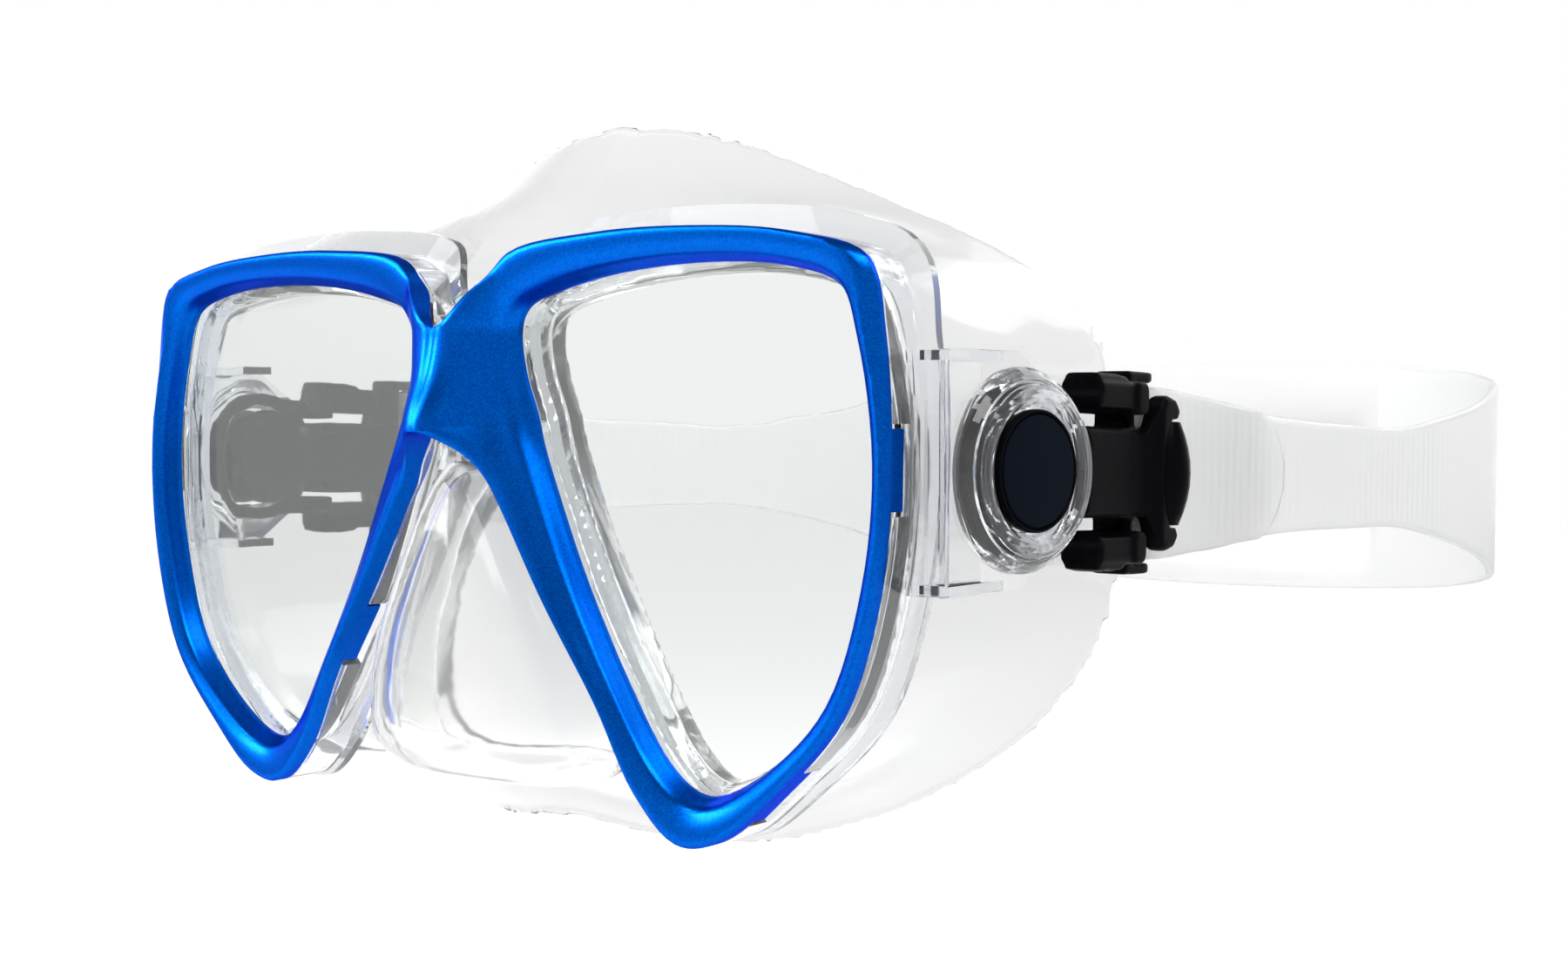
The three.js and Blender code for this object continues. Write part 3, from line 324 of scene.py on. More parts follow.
def beside_opening(station, margin):
    """A point beside the eye opening, out by a margin, as x and z."""
    before, after = (opening_line(station + step) for step in (-tangent_step, tangent_step))
    along = (after - before).normalized()
    at = opening_line(station)
    return Vector((at.x - along.y * margin, at.y + along.x * margin))


def beside_rim(station, margin):
    """A point beside the bezel's rim, which runs up the middle plane over the bridge."""
    if station < bridge_stations:
        low = beside_rim(station_count, margin).y
        high = beside_rim(bridge_stations, margin).y
        return Vector((0, mix(low, high, station / bridge_stations)))
    run = station - bridge_stations + 1
    along = (rim_line(run + tangent_step) - rim_line(run - tangent_step)).normalized()
    at = rim_line(run)
    return Vector((max(at.x - along.y * margin, 0), at.y + along.x * margin))


def wrap_depth(x):
    """How far the front stands back at x: swept back outward, forward over the nose."""
    swept = wrap_slope * (math.hypot(x, wrap_blend) - wrap_centre)
    near = min(abs(x) / bridge_reach, 1)
    return swept - bridge_rise * (1 + math.cos(math.pi * near)) / 2


def place_on_front(point, depth, flat=False):
    swept = wrap_slope * (point.x - wrap_centre) if flat else wrap_depth(point.x)
    return Vector((point.x, depth + swept - seal_depth, point.y)) * MM


def bridge_factors(station):
    """How far a station belongs to the bridge: in its step's width, and in its height."""
    past = station_count - station if station > station_count / 2 else station - bridge_stations
    if past <= 0:
        return 1, 1
    return 1 - smooth(0, bridge_ease, past), 1 - smooth(bridge_ease, bridge_end, past)


def stretch_grid(rows, closed_row=False):
    """A mesh whose grid is stretched over rows of points, and sewn where its edges meet."""
    rows = [list(row) + (list(row[:1]) if closed_row else []) for row in rows]
    mesh = bmesh.new()
    bmesh.ops.create_grid(mesh, x_segments=len(rows[0]) - 1, y_segments=len(rows) - 1, size=1)
    mesh.verts.ensure_lookup_table()
    for vert, place in zip(mesh.verts, (point for row in rows for point in row)):
        vert.co = place
    bmesh.ops.remove_doubles(mesh, verts=mesh.verts, dist=weld)
    return mesh


def both_halves(mesh):
    """Adds the right half of a mesh that meets the middle plane, with nothing left inside."""
    inside = [f for f in mesh.faces if all(abs(v.co.x) < weld for v in f.verts)]
    bmesh.ops.delete(mesh, geom=inside, context="FACES")
    geometry = mesh.verts[:] + mesh.edges[:] + mesh.faces[:]
    bmesh.ops.mirror(mesh, geom=geometry, matrix=Matrix.Identity(4), merge_dist=weld, axis="X")
    bmesh.ops.remove_doubles(mesh, verts=mesh.verts, dist=weld)
    return mesh


def make_piece(mesh, name, material, body, slot, *replaced):
    """Turns a mesh into a piece with its finish and its body, and hides the parts it stands for.
    Its slot is not used.
    """
    bmesh.ops.recalc_face_normals(mesh, faces=mesh.faces)
    data = bpy.data.meshes.new(name)
    mesh.to_mesh(data)
    mesh.free()
    data.materials.append(material)
    data.shade_smooth()
    made = bpy.data.objects.new(name, data)
    scene.collection.objects.link(made)
    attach(made, body)
    if replaced:
        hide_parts(*replaced)
    return made


def soften(made, width, angle=32, segments=2):
    """Rounds the moulded edges of a piece."""
    bevel = made.modifiers.new("moulded_edges", "BEVEL")
    bevel.width = width * MM
    bevel.segments = segments
    bevel.limit_method = "ANGLE"
    bevel.angle_limit = math.radians(angle)
    bevel.harden_normals = True
    return made


face_points = [
    (0, 0), (0.08, 0.25), (0.22, 0.72), (0.34, 0.86), (0.65, 1.02), (0.93, 1.04), (1, 0.88)
]
face_line = line_through(face_points)
face_spans = len(face_points) - 1
face_steps = 3
face_reads = 12
face_flat_from = 0.6
inner_edge = 0.15
lobe_stations = [7.2, 8.9, 10.4]
lobe_reach = 0.5
lobe_fall = 0.62
bridge_dip = 2.8
bridge_flat = 7
nose_lift = 0.36
nose_stations = (15.5, 18)
nose_end = 1.2
nose_lift_across = (0.3, 0.95)


def lobe_start(station):
    """Where the crease of the outer corner's lobe crosses the band, as a share of its width."""
    first, middle, last = lobe_stations
    end = first if station < middle else last
    share = (station - end) / (middle - end)
    return 1 - lobe_reach * smooth(0, 1, share)


def face_line_height(across):
    """Height of the band's face at a share of its width."""
    run = [face_line(i / face_reads) for i in range(face_spans * face_reads + 1)]
    return next((point.y for point in run if point.x >= across), run[-1].y)


def bezel_column(station):
    """One cut across the band, from the lip round its face to the step behind the rim."""
    inner = beside_opening(station, 0)
    outer = beside_rim(station, 0)
    wide, high = bridge_factors(station)
    if station > station_count / 2:
        dip = 0
        nose_side = smooth(*nose_stations, station)
    else:
        dip = bridge_dip * high * smooth(0, bridge_stations, station)
        nose_side = 1 - smooth(0, nose_end, station)
    column = [place_on_front(inner, lip), place_on_front(inner, inner_edge)]
    for i in range(face_spans * face_steps + 1):
        across, height = face_line(i / face_steps)
        height = mix(height, max(height, 1) if across > face_flat_from else height, high)
        crease = lobe_start(station)
        if across > crease:
            fallen = (across - crease) / (1 - crease)
            height = min(height, mix(face_line_height(crease), lobe_fall, fallen))
        height += nose_side * nose_lift * smooth(*nose_lift_across, across)
        point = inner.lerp(outer, across)
        middle = (1 + math.cos(math.pi * min(point.x / bridge_flat, 1))) / 2
        column.append(place_on_front(point, crest * height + dip * middle))
    step = beside_rim(station, -frame_wall - seat_gap).lerp(outer, wide)
    rear = mix(rim + rim_edge, lip, high)
    column.append(place_on_front(outer, rear))
    column.append(place_on_front(step, rear))
    column.append(place_on_front(step, lip))
    return column


blue_flake, tree, shader = plain_material("blue_flake")
spots = add_node(tree, "ShaderNodeTexVoronoi")
spots.inputs["Scale"].default_value = 5200
where = add_node(tree, "ShaderNodeTexCoord")
tree.links.new(where.outputs["Object"], spots.inputs["Vector"])
flake = add_node(tree, "ShaderNodeMix", data_type="RGBA")
flake.inputs["A"].default_value = (0.0, 0.055, 0.4, 1)
flake.inputs["B"].default_value = (0.0, 0.12, 0.56, 1)
tree.links.new(spots.outputs["Color"], flake.inputs["Factor"])
tree.links.new(flake.outputs["Result"], shader.inputs["Base Color"])
shader.inputs["Metallic"].default_value = 0.93
shader.inputs["Roughness"].default_value = 0.3
shader.inputs["Specular IOR Level"].default_value = 0.1
shader.inputs["Specular Tint"].default_value = (0.0, 0.3, 1.0, 1)
shader.inputs["Coat Weight"].default_value = 0.02
shader.inputs["Coat Roughness"].default_value = 0.04

full_turn = stations + stations[:1]
bezel = both_halves(stretch_grid([bezel_column(s) for s in full_turn], closed_row=True))
front_bezel = make_piece(bezel, "front_bezel_shell", blue_flake, "root", "bezel", "front_bezel")

# Clear frame: one polycarbonate moulding with a wall round the bezel and a web behind the
# lenses. Windows in its wall let the bezel's clips snap in.
lens_thickness = 3
lens_margin = 1.8
gasket_thickness = 1.8
web_thickness = 1.6
brow_flange = 3.5
aperture_margin = 0.8
bridge_shelf = 2.6
web_front = lip + seat_gap + lens_thickness + seat_gap + gasket_thickness + seat_gap
web_rear = web_front + web_thickness
wall_top = rim + rim_edge + seat_gap
shelf_top = lip + 2 * seat_gap
flange_proud = 0.2
clear_tint = (0.985, 0.992, 1, 1)
clear_depth_tint = (0.4, 0.52, 0.75, 1)
clear_tint_density = 16


def flange_at(station):
    """Width of the frame's flange, which is widest at the brow."""
    low = math.floor(station) % station_count
    high = (low + 1) % station_count
    return brow_flange * mix(eye_shares[low][4], eye_shares[high][4], station % 1)


def frame_column(station):
    """One cut across the frame: its web, its wall round the bezel and its flange."""
    wide, high = bridge_factors(station)
    top = mix(wall_top, shelf_top, high)
    web = beside_opening(station, aperture_margin)
    shelf = beside_opening(station, bridge_shelf)
    guard = beside_opening(station, lens_margin + seat_gap)
    seat = beside_rim(station, -frame_wall).lerp(shelf, wide)
    skin = beside_rim(station, 0)
    flange = beside_rim(station, flange_at(station))
    return [
        place_on_front(web, web_rear),
        place_on_front(web, web_front),
        place_on_front(guard, web_front),
        place_on_front(seat, web_front),
        place_on_front(seat, top),
        place_on_front(skin, top),
        place_on_front(skin, web_front - flange_at(station) / 2),
        place_on_front(flange, web_front + flange_proud),
        place_on_front(flange, web_rear),
    ]


def tint_inside(tree, color, density):
    """Colour that light takes on inside a clear material, deeper where its path is longer."""
    inside = add_node(tree, "ShaderNodeVolumeAbsorption")
    inside.inputs["Color"].default_value = color
    inside.inputs["Density"].default_value = density
    tree.links.new(inside.outputs[0], tree.nodes["Material Output"].inputs["Volume"])


def clear_material(name, tint, roughness, ior, clear, inner_color, density):
    """Clear moulded plastic or glass, with the faint waves of its moulding."""
    material, tree, shader = plain_material(name)
    tint_inside(tree, inner_color, density)
    where = add_node(tree, "ShaderNodeTexCoord")
    waves = add_node(tree, "ShaderNodeTexNoise")
    waves.inputs["Scale"].default_value = 90
    waves.inputs["Detail"].default_value = 1
    bump = add_node(tree, "ShaderNodeBump")
    bump.inputs["Strength"].default_value = 0.12
    bump.inputs["Distance"].default_value = 0.4 * MM
    tree.links.new(where.outputs["Object"], waves.inputs["Vector"])
    tree.links.new(waves.outputs["Fac"], bump.inputs["Height"])
    tree.links.new(bump.outputs["Normal"], shader.inputs["Normal"])
    shader.inputs["Base Color"].default_value = tint
    shader.inputs["Roughness"].default_value = roughness
    shader.inputs["IOR"].default_value = ior
    shader.inputs["Transmission Weight"].default_value = clear
    return material


clear_plastic = clear_material(
    "clear_polycarbonate", clear_tint, 0.02, 1.4, 0.95, clear_depth_tint, clear_tint_density
)
frame_mesh = both_halves(stretch_grid([frame_column(s) for s in full_turn], closed_row=True))
frame_shell = make_piece(frame_mesh, "frame_shell", clear_plastic, "root", "frame", "main_frame")


def fill_ends(mesh):
    bmesh.ops.holes_fill(mesh, edges=[e for e in mesh.edges if e.is_boundary])
    return mesh


def closed_loops(loops):
    """A closed mesh through a row of loops, with its two ends filled."""
    return fill_ends(stretch_grid(loops, closed_row=True))


def box_across(station, width, inner, outer, front, rear):
    """A block that stands across the rim, from an inner margin to an outer one."""
    low = beside_rim(station, inner)
    high = beside_rim(station, outer)
    across = (high - low).normalized()
    side = Vector((-across.y, across.x)) * width / 2
    corners = [low + side, high + side, high - side, low - side]
    return closed_loops(
        [[place_on_front(corner, depth) for corner in corners] for depth in (front, rear)]
    )


def settle(made):
    """Applies a piece's modifiers to its mesh."""
    bpy.context.view_layer.update()
    graph = bpy.context.evaluated_depsgraph_get()
    final = bpy.data.meshes.new_from_object(made.evaluated_get(graph))
    made.modifiers.clear()
    made.data = final


def change_by(made, operation, *meshes):
    """Joins meshes to a piece, or cuts them away from it."""
    for mesh in meshes:
        bmesh.ops.recalc_face_normals(mesh, faces=mesh.faces)
        data = bpy.data.meshes.new("tool")
        mesh.to_mesh(data)
        mesh.free()
        tool = bpy.data.objects.new("tool", data)
        scene.collection.objects.link(tool)
        change = made.modifiers.new("change", "BOOLEAN")
        change.object = tool
        change.operation = operation
        change.solver = "MANIFOLD"
        settle(made)
        bpy.data.objects.remove(tool)


def turned_copy(mesh, sign):
    """A copy of a mesh for the left side (1) or the right side (-1)."""
    twin = mesh.copy()
    bmesh.ops.scale(twin, verts=twin.verts, vec=(sign, 1, 1))
    return twin


clip_stations = [5.6, 10.05, 13.1, 17.4]
window_width = 11.5
window_depth = 4
window_inside = -frame_wall - 0.5
window_outside = 0.8
clip_width = 10.3
clip_depth = 3
clip_inside = -seat_gap - 1
rim_rear = rim + rim_edge
for station in clip_stations:
    window = box_across(
        station, window_width, window_inside, window_outside, rim_rear, rim_rear + window_depth
    )
    clip = box_across(station, clip_width, clip_inside, -seat_gap, rim, rim_rear + clip_depth)
    for sign in (1, -1):
        change_by(frame_shell, "DIFFERENCE", turned_copy(window, sign))
        change_by(front_bezel, "UNION", turned_copy(clip, sign))

soften(front_bezel, 0.22, 40)

# The frame's side pods: a wing plate between two ribs, and a round boss turned with rings,
# which holds the buckle's stud. Plate and boss lean a little towards the front.
pivot = Vector((78.2, 22.7 - seal_depth, 7.8))
plate_outer = 78.2
plate_inner = 76
pod_forward = 1.8
pod_front = web_front + wrap_depth(plate_outer) - pod_forward - seal_depth
pod_half = 15.5
pod_straight = 0.4
pod_rib = 1.4
pod_rib_deep = 5
pod_rib_lap = 0.5
pod_rib_back = 0.2
pod_rib_inset = 0.12
pod_wall_inset = 0.1
boss_radius = 13.2
plate_radius = boss_radius - 0.2
plate_arc_steps = 30
plate_lean = 0.105
plate_lean_skin = 1
face_lean = math.radians(8)
face_lean_x = 79.2
stud_seat = 78.0
stud_seat_radius = 8.3
post_bore = 5.9
bore_ends = (60, 90)
hub_profile = [(5.9, 73.1), (8.75, 73.1), (8.75, 77), (5.9, 77)]
boss_profile = [
    (8.3, 76.2), (13.3, 76.2), (13.5, 77.2), (13.4, 77.7), (13.0, 78.3), (12.4, 79.0),
    (12.0, 79.35), (11.8, 79.35), (11.65, 78.7), (11.45, 78.7), (11.3, 79.9), (11.0, 80.35),
    (10.5, 80.6), (10.0, 80.6), (9.5, 80.4), (9.0, 79.9), (8.6, 79.2), (8.3, 78.9),
]


def lean_face(mesh):
    """Turns what is built square on the pivot to face a little towards the front."""
    turn = Matrix.Rotation(-face_lean, 3, "Z")
    centre = (face_lean_x * MM, pivot.y * MM, pivot.z * MM)
    bmesh.ops.rotate(mesh, verts=mesh.verts, cent=centre, matrix=turn)
    return mesh


def turn_on_x(profile, centre, steps=96):
    """A ring or post turned about the side-to-side axis, from its radius and place pairs."""
    mesh = bmesh.new()
    verts = [
        mesh.verts.new((x * MM, (centre.y + radius) * MM, centre.z * MM)) for radius, x in profile
    ]
    edges = [mesh.edges.new(pair) for pair in zip(verts, verts[1:] + verts[:1])]
    bmesh.ops.spin(
        mesh,
        geom=verts + edges,
        cent=centre * MM,
        axis=(1, 0, 0),
        angle=2 * math.pi,
        steps=steps,
        use_merge=True,
    )
    bmesh.ops.remove_doubles(mesh, verts=mesh.verts, dist=weld)
    return mesh


def drawn_out(outline, *move):
    """A solid drawn out from a flat outline of points, by a move."""
    mesh = bmesh.new()
    face = mesh.faces.new([mesh.verts.new(Vector(point) * MM) for point in outline])
    grown = bmesh.ops.extrude_face_region(mesh, geom=[face])["geom"]
    moved = [v for v in grown if isinstance(v, bmesh.types.BMVert)]
    bmesh.ops.translate(mesh, verts=moved, vec=[along * MM for along in move])
    return mesh


def block_between(low, high):
    sides = ((low[1], low[2]), (high[1], low[2]), (high[1], high[2]), (low[1], high[2]))
    return drawn_out([(low[0], y, z) for y, z in sides], high[0] - low[0], 0, 0)


corner = math.hypot(pod_straight, pod_half)
tangent = math.atan2(pod_half, pod_straight) - math.acos(plate_radius / corner)
arc = [mix(-tangent, tangent, i / plate_arc_steps) for i in range(plate_arc_steps + 1)]
pod_outline = [
    (pod_front, pivot.z - pod_half),
    (pivot.y + pod_straight, pivot.z - pod_half),
    *[(pivot.y + plate_radius * math.cos(a), pivot.z + plate_radius * math.sin(a)) for a in arc],
    (pivot.y + pod_straight, pivot.z + pod_half),
    (pod_front, pivot.z + pod_half),
]
plate_rear = pivot.y + boss_radius
plate = drawn_out([(plate_inner, y, z) for y, z in pod_outline], plate_outer - plate_inner, 0, 0)
for vert in plate.verts:
    if vert.co.x > (plate_inner + plate_lean_skin) * MM:
        vert.co.x -= plate_lean * (plate_rear * MM - vert.co.y)
front_wall = [
    (75.7, -28.1), (75.2, -29.1), (73.4, -30.2), (70, -30.4), (70, -29.1), (73, -28.8),
    (74.2, -27.6),
]
wall_low = pivot.z - pod_half + pod_wall_inset
wall_mesh = drawn_out(
    [(x, y, wall_low) for x, y in front_wall], 0, 0, 2 * (pod_half - pod_wall_inset)
)
pod_parts = [
    plate,
    block_between(
        (plate_inner - pod_rib_deep, pod_front + pod_rib_back, pivot.z + pod_half - pod_rib),
        (plate_inner + pod_rib_lap, pivot.y + pod_straight, pivot.z + pod_half - pod_rib_inset),
    ),
    block_between(
        (plate_inner - pod_rib_deep, pod_front + pod_rib_back, pivot.z - pod_half + pod_rib_inset),
        (plate_inner + pod_rib_lap, pivot.y + pod_straight, pivot.z - pod_half + pod_rib),
    ),
    wall_mesh,
    turn_on_x(hub_profile, pivot),
    lean_face(turn_on_x(boss_profile, pivot)),
]


def bore(radius, low_x, high_x):
    return turn_on_x([(0, low_x), (radius, low_x), (radius, high_x), (0, high_x)], pivot)


seat_cut = bore(stud_seat_radius, stud_seat, bore_ends[1])
post_cut = bore(post_bore, *bore_ends)
for part in pod_parts:
    change_by(frame_shell, "UNION", turned_copy(part, 1), turned_copy(part, -1))
for cut in (lean_face(seat_cut), post_cut):
    change_by(frame_shell, "DIFFERENCE", turned_copy(cut, 1), turned_copy(cut, -1))
soften(frame_shell, 0.25, 40)

# Lenses: flat plates of tempered glass with ground edges. Each sits behind the bezel's lip, on
# the skirt's gasket, and its edge shows a little green.
lens_front = lip + seat_gap
lens_tint = (0.985, 0.995, 0.99, 1)
lens_depth_tint = (0.3, 0.75, 0.65, 1)
lens_glass = clear_material("lens_glass", lens_tint, 0.0, 1.45, 1, lens_depth_tint, 9)
for side, sign in (("left", 1), ("right", -1)):
    loops = [
        [place_on_front(beside_opening(s, lens_margin), depth, flat=True) for s in stations]
        for depth in (lens_front, lens_front + lens_thickness)
    ]
    plate = closed_loops(loops)
    bmesh.ops.scale(plate, verts=plate.verts, vec=(sign, 1, 1))
    made = make_piece(plate, side + "_lens_glass", lens_glass, "root", "lens", side + "_lens")
    soften(made, 0.35, 40, 2)

# Face skirt: one soft clear silicone moulding. Its front sits behind the frame, its nose
# pocket stands forward between the eyes, and its side wall turns out into the face seal.
skirt_wall = 1.8
skirt_lip = 1.0
skirt_inset = 3.1
skirt_half_width = 69.3
skirt_depth = 66
skirt_top = 60
skirt_bottom = 48.5
skirt_front = web_rear + seat_gap
skirt_shares = [
    (0, 0.288, 0.75, 0, 0.485, 1),
    (0.13, 0.288, 0.758, 0.144, 0.5, 0.98),
    (0.245, 0.295, 0.758, 0.274, 0.53, 0.95),
    (0.462, 0.318, 0.742, 0.476, 0.568, 0.858),
    (0.678, 0.348, 0.7, 0.664, 0.636, 0.762),
    (0.837, 0.394, 0.638, 0.823, 0.72, 0.67),
    (0.926, 0.455, 0.563, 0.938, 0.818, 0.562),
    (0.986, 0.576, 0.408, 0.999, 0.924, 0.408),
    (0.993, 0.636, 0.133, 1, 0.992, 0.133),
    (0.99, 0.644, -0.144, 0.996, 1, -0.165),
    (0.938, 0.545, -0.423, 0.96, 0.939, -0.433),
    (0.823, 0.47, -0.629, 0.859, 0.818, -0.68),
    (0.678, 0.409, -0.763, 0.693, 0.667, -0.866),
    (0.577, 0.379, -0.825, 0.577, 0.576, -0.938),
    (0.462, 0.333, -0.845, 0.447, 0.485, -0.99),
    (0.354, 0.295, -0.841, 0.31, 0.409, -1),
    (0.245, 0.273, -0.825, 0.202, 0.364, -0.99),
    (0.144, 0.258, -0.808, 0.115, 0.341, -0.973),
    (0.072, 0.247, -0.792, 0.058, 0.333, -0.963),
    (0, 0.242, -0.784, 0, 0.333, -0.959),
]
skirt_steps = 4
skirt_rows = 6
gasket_front = lens_front + lens_thickness + seat_gap
neck_inset = 1.2
neck_draw_in = 1.0
seal_draw_back = 0.8
cavity_overrun = 6
hole_overrun = 2
skirt_voxel = 0.8
skirt_ease = 6


def skirt_point(u, w, v):
    return (u * skirt_half_width, w * skirt_depth, v * (skirt_top if v > 0 else skirt_bottom))


turn_line = line_through([skirt_point(*row[:3]) for row in skirt_shares])
edge_line = line_through([skirt_point(*row[3:]) for row in skirt_shares])
skirt_last = station_count - bridge_stations


def skirt_column(run):
    """The skirt's outer side behind one place of the rim, from the frame to the seal's edge."""
    at = beside_rim(run + bridge_stations, -skirt_inset)
    middle_column = run in (0, skirt_last)
    front = Vector((at.x, skirt_front + wrap_slope * (at.x - wrap_centre), at.y))
    turn = turn_line(run)
    edge = edge_line(run)
    middle = front.lerp(turn, 0.5) + Vector((0, -neck_draw_in, 0))
    flare = turn.lerp(edge, 0.5) + Vector((0, seal_draw_back, 0))
    line = line_through([front, middle, turn, flare, edge])
    rows = [line(i / skirt_rows) for i in range(4 * skirt_rows + 1)]
    return [Vector((0 if middle_column else max(p.x, 0), p.y - seal_depth, p.z)) for p in rows]


def sunk(columns, walls):
    """The same columns sunk under their surface, each row by its own wall."""
    last = len(columns) - 1
    result = []
    for k, column in enumerate(columns):
        rows = []
        for r, point in enumerate(column):
            along = columns[min(k + 1, last)][r] - columns[max(k - 1, 0)][r]
            down = column[min(r + 1, len(column) - 1)] - column[max(r - 1, 0)]
            place = point - along.cross(down).normalized() * walls[r]
            rows.append(Vector((0 if k in (0, last) else max(place.x, 0), place.y, place.z)))
        result.append(rows)
    return result


def closed_skin(columns):
    """A closed mesh of both halves of a sheet of columns, in metres, with its ends filled."""
    sheet = stretch_grid([[point * MM for point in column] for column in columns])
    return fill_ends(both_halves(sheet))


skirt_runs = [i / skirt_steps for i in range(skirt_last * skirt_steps + 1)]
outer_columns = [skirt_column(run) for run in skirt_runs]
row_count = len(outer_columns[0])
walls = [mix(skirt_wall, skirt_lip, (r / (row_count - 1)) ** 2) for r in range(row_count)]
cavity_columns = sunk(outer_columns, walls)
for outer, inner in zip(outer_columns, cavity_columns):
    for point in inner:
        point.y = max(point.y, outer[0].y + skirt_wall)
    inner.append(inner[-1] + Vector((0, cavity_overrun, 0)))

pocket_half_width = 20.5
pocket_front = -9 - seal_depth
pocket_back = 12 - seal_depth
pocket_open = 20 - seal_depth
pocket_top = 8.5
pocket_height = 46.5
pocket_square = 0.55
pocket_shares = [
    (0, 0.1, 0.76),
    (0.1, 0.29, 0.86),
    (0.31, 0.56, 0.95),
    (0.53, 0.8, 1),
    (0.74, 0.95, 0.98),
    (0.87, 1, 0.9),
    (0.957, 0.9, 0.71),
    (1, 0.68, 0.43),
]
pocket_line = line_through(pocket_shares)
pocket_steps = 4
pocket_turns = 32


def nose_pocket(wall, back):
    """Level sections of the nose pocket from its top down, drawn in by a wall."""
    loops = []
    for i in range((len(pocket_shares) - 1) * pocket_steps + 1):
        down, wide, reach = pocket_line(i / pocket_steps)
        z = mix(pocket_top - wall, pocket_top - pocket_height + wall, down)
        half = max(wide * pocket_half_width - wall, wall / 2, 1)
        front = mix(pocket_back, pocket_front + wall, reach)
        loop = []
        for turn in range(pocket_turns + 1):
            angle = math.pi * turn / pocket_turns
            side = math.copysign(abs(math.cos(angle)) ** pocket_square, math.cos(angle))
            y = mix(back, front, math.sin(angle) ** pocket_square)
            loop.append(Vector((side * half, y, z)) * MM)
        loops.append(loop)
    return closed_loops(loops)


def around_eye(margin, depth, sign):
    loop = [place_on_front(beside_opening(s, margin), depth, flat=True) for s in stations[::2]]
    return [Vector((sign * point.x, point.y, point.z)) for point in loop]


def silicone_material(name, clear, roughness, density):
    """Soft clear silicone, a little milky, with faint clouds in it."""
    material, tree, shader = plain_material(name)
    where = add_node(tree, "ShaderNodeTexCoord")
    clouds = add_node(tree, "ShaderNodeTexNoise")
    clouds.inputs["Scale"].default_value = 40
    milk = add_node(tree, "ShaderNodeMix", data_type="RGBA")
    milk.inputs["A"].default_value = (0.93, 0.94, 0.945, 1)
    milk.inputs["B"].default_value = (0.965, 0.965, 0.955, 1)
    tree.links.new(where.outputs["Object"], clouds.inputs["Vector"])
    tree.links.new(clouds.outputs["Fac"], milk.inputs["Factor"])
    tree.links.new(milk.outputs["Result"], shader.inputs["Base Color"])
    shader.inputs["Transmission Weight"].default_value = clear
    shader.inputs["Roughness"].default_value = roughness
    shader.inputs["IOR"].default_value = 1.3
    tint_inside(tree, (0.5, 0.52, 0.5, 1), density)
    return material


def flow(made, size, rounds):
    """Melts a piece's joins and edges into the soft rounds of one moulding."""
    melt = made.modifiers.new("one_skin", "REMESH")
    melt.mode = "VOXEL"
    melt.voxel_size = size * MM
    melt.use_smooth_shade = True
    settle(made)
    ease = made.modifiers.new("moulded_flow", "SMOOTH")
    ease.factor = 0.5
    ease.iterations = rounds
    settle(made)


silicone = silicone_material("clear_silicone", 0.93, 0.08, 18)
skirt_skin = closed_skin(outer_columns)
skirt = make_piece(skirt_skin, "skirt_moulding", silicone, "root", "skirt", "face_skirt")
pass_margin = aperture_margin - seat_gap
for sign in (1, -1):
    neck = closed_loops(
        [
            around_eye(lens_margin, gasket_front, sign),
            around_eye(lens_margin, gasket_front + gasket_thickness, sign),
            around_eye(pass_margin, gasket_front + gasket_thickness, sign),
            around_eye(pass_margin, skirt_front + skirt_wall / 2, sign),
        ]
    )
    change_by(skirt, "UNION", neck)
change_by(skirt, "UNION", nose_pocket(0, pocket_back))
change_by(skirt, "DIFFERENCE", closed_skin(cavity_columns))
change_by(skirt, "DIFFERENCE", nose_pocket(skirt_wall, pocket_open))
for sign in (1, -1):
    hole = closed_loops(
        [
            around_eye(-neck_inset, gasket_front - hole_overrun, sign),
            around_eye(-neck_inset, skirt_front + skirt_wall + hole_overrun, sign),
        ]
    )
    change_by(skirt, "DIFFERENCE", hole)
flow(skirt, skirt_voxel, skirt_ease)

# Head strap: one moulded silicone band with fine cross ribs. It runs from its left tail round
# both buckles' rollers and behind the head, where it widens and splits.
strap_drop = math.radians(1.8)
strap_thickness = 1.6
strap_width = 24.5
tail_width = 19
pad_width = 52
tail_end = 79.3
layer_ease = 21
strap_side = 76.6
strap_rear = 221.3
roller_x = 75.0
roller_y = 34.4
wrap_radius = 3.0
rib_pitch = 2.6
rib_height = 0.12
rib_margin = 0.9
ribs_start = (2, 5)
ribs_end = (170, 185)
edge_round = 0.5
edge_step = 0.35
tip_blunt = 0.4
row_step = 0.65
line_steps = 40
fold_steps = 6
slot_half_length = 40
slot_half_height = 6.5
slot_reach = 20
slot_arc_steps = 16
rear_shares = [
    (1, 0.232, 0.34),
    (0.996, 0.4, 0.35),
    (0.994, 0.56, 0.45),
    (0.986, 0.69, 0.56),
    (0.966, 0.789, 0.69),
    (0.914, 0.873, 0.8),
    (0.757, 0.944, 0.9),
    (0.418, 0.986, 0.97),
]


def hang(mesh):
    """Moves a mesh made about the pivot to its place on the buckles, which droop a little."""
    turn = Matrix.Rotation(-strap_drop, 3, "X")
    bmesh.ops.rotate(mesh, verts=mesh.verts, cent=(0, 0, 0), matrix=turn)
    bmesh.ops.translate(mesh, verts=mesh.verts, vec=(0, pivot.y * MM, pivot.z * MM))
    return mesh


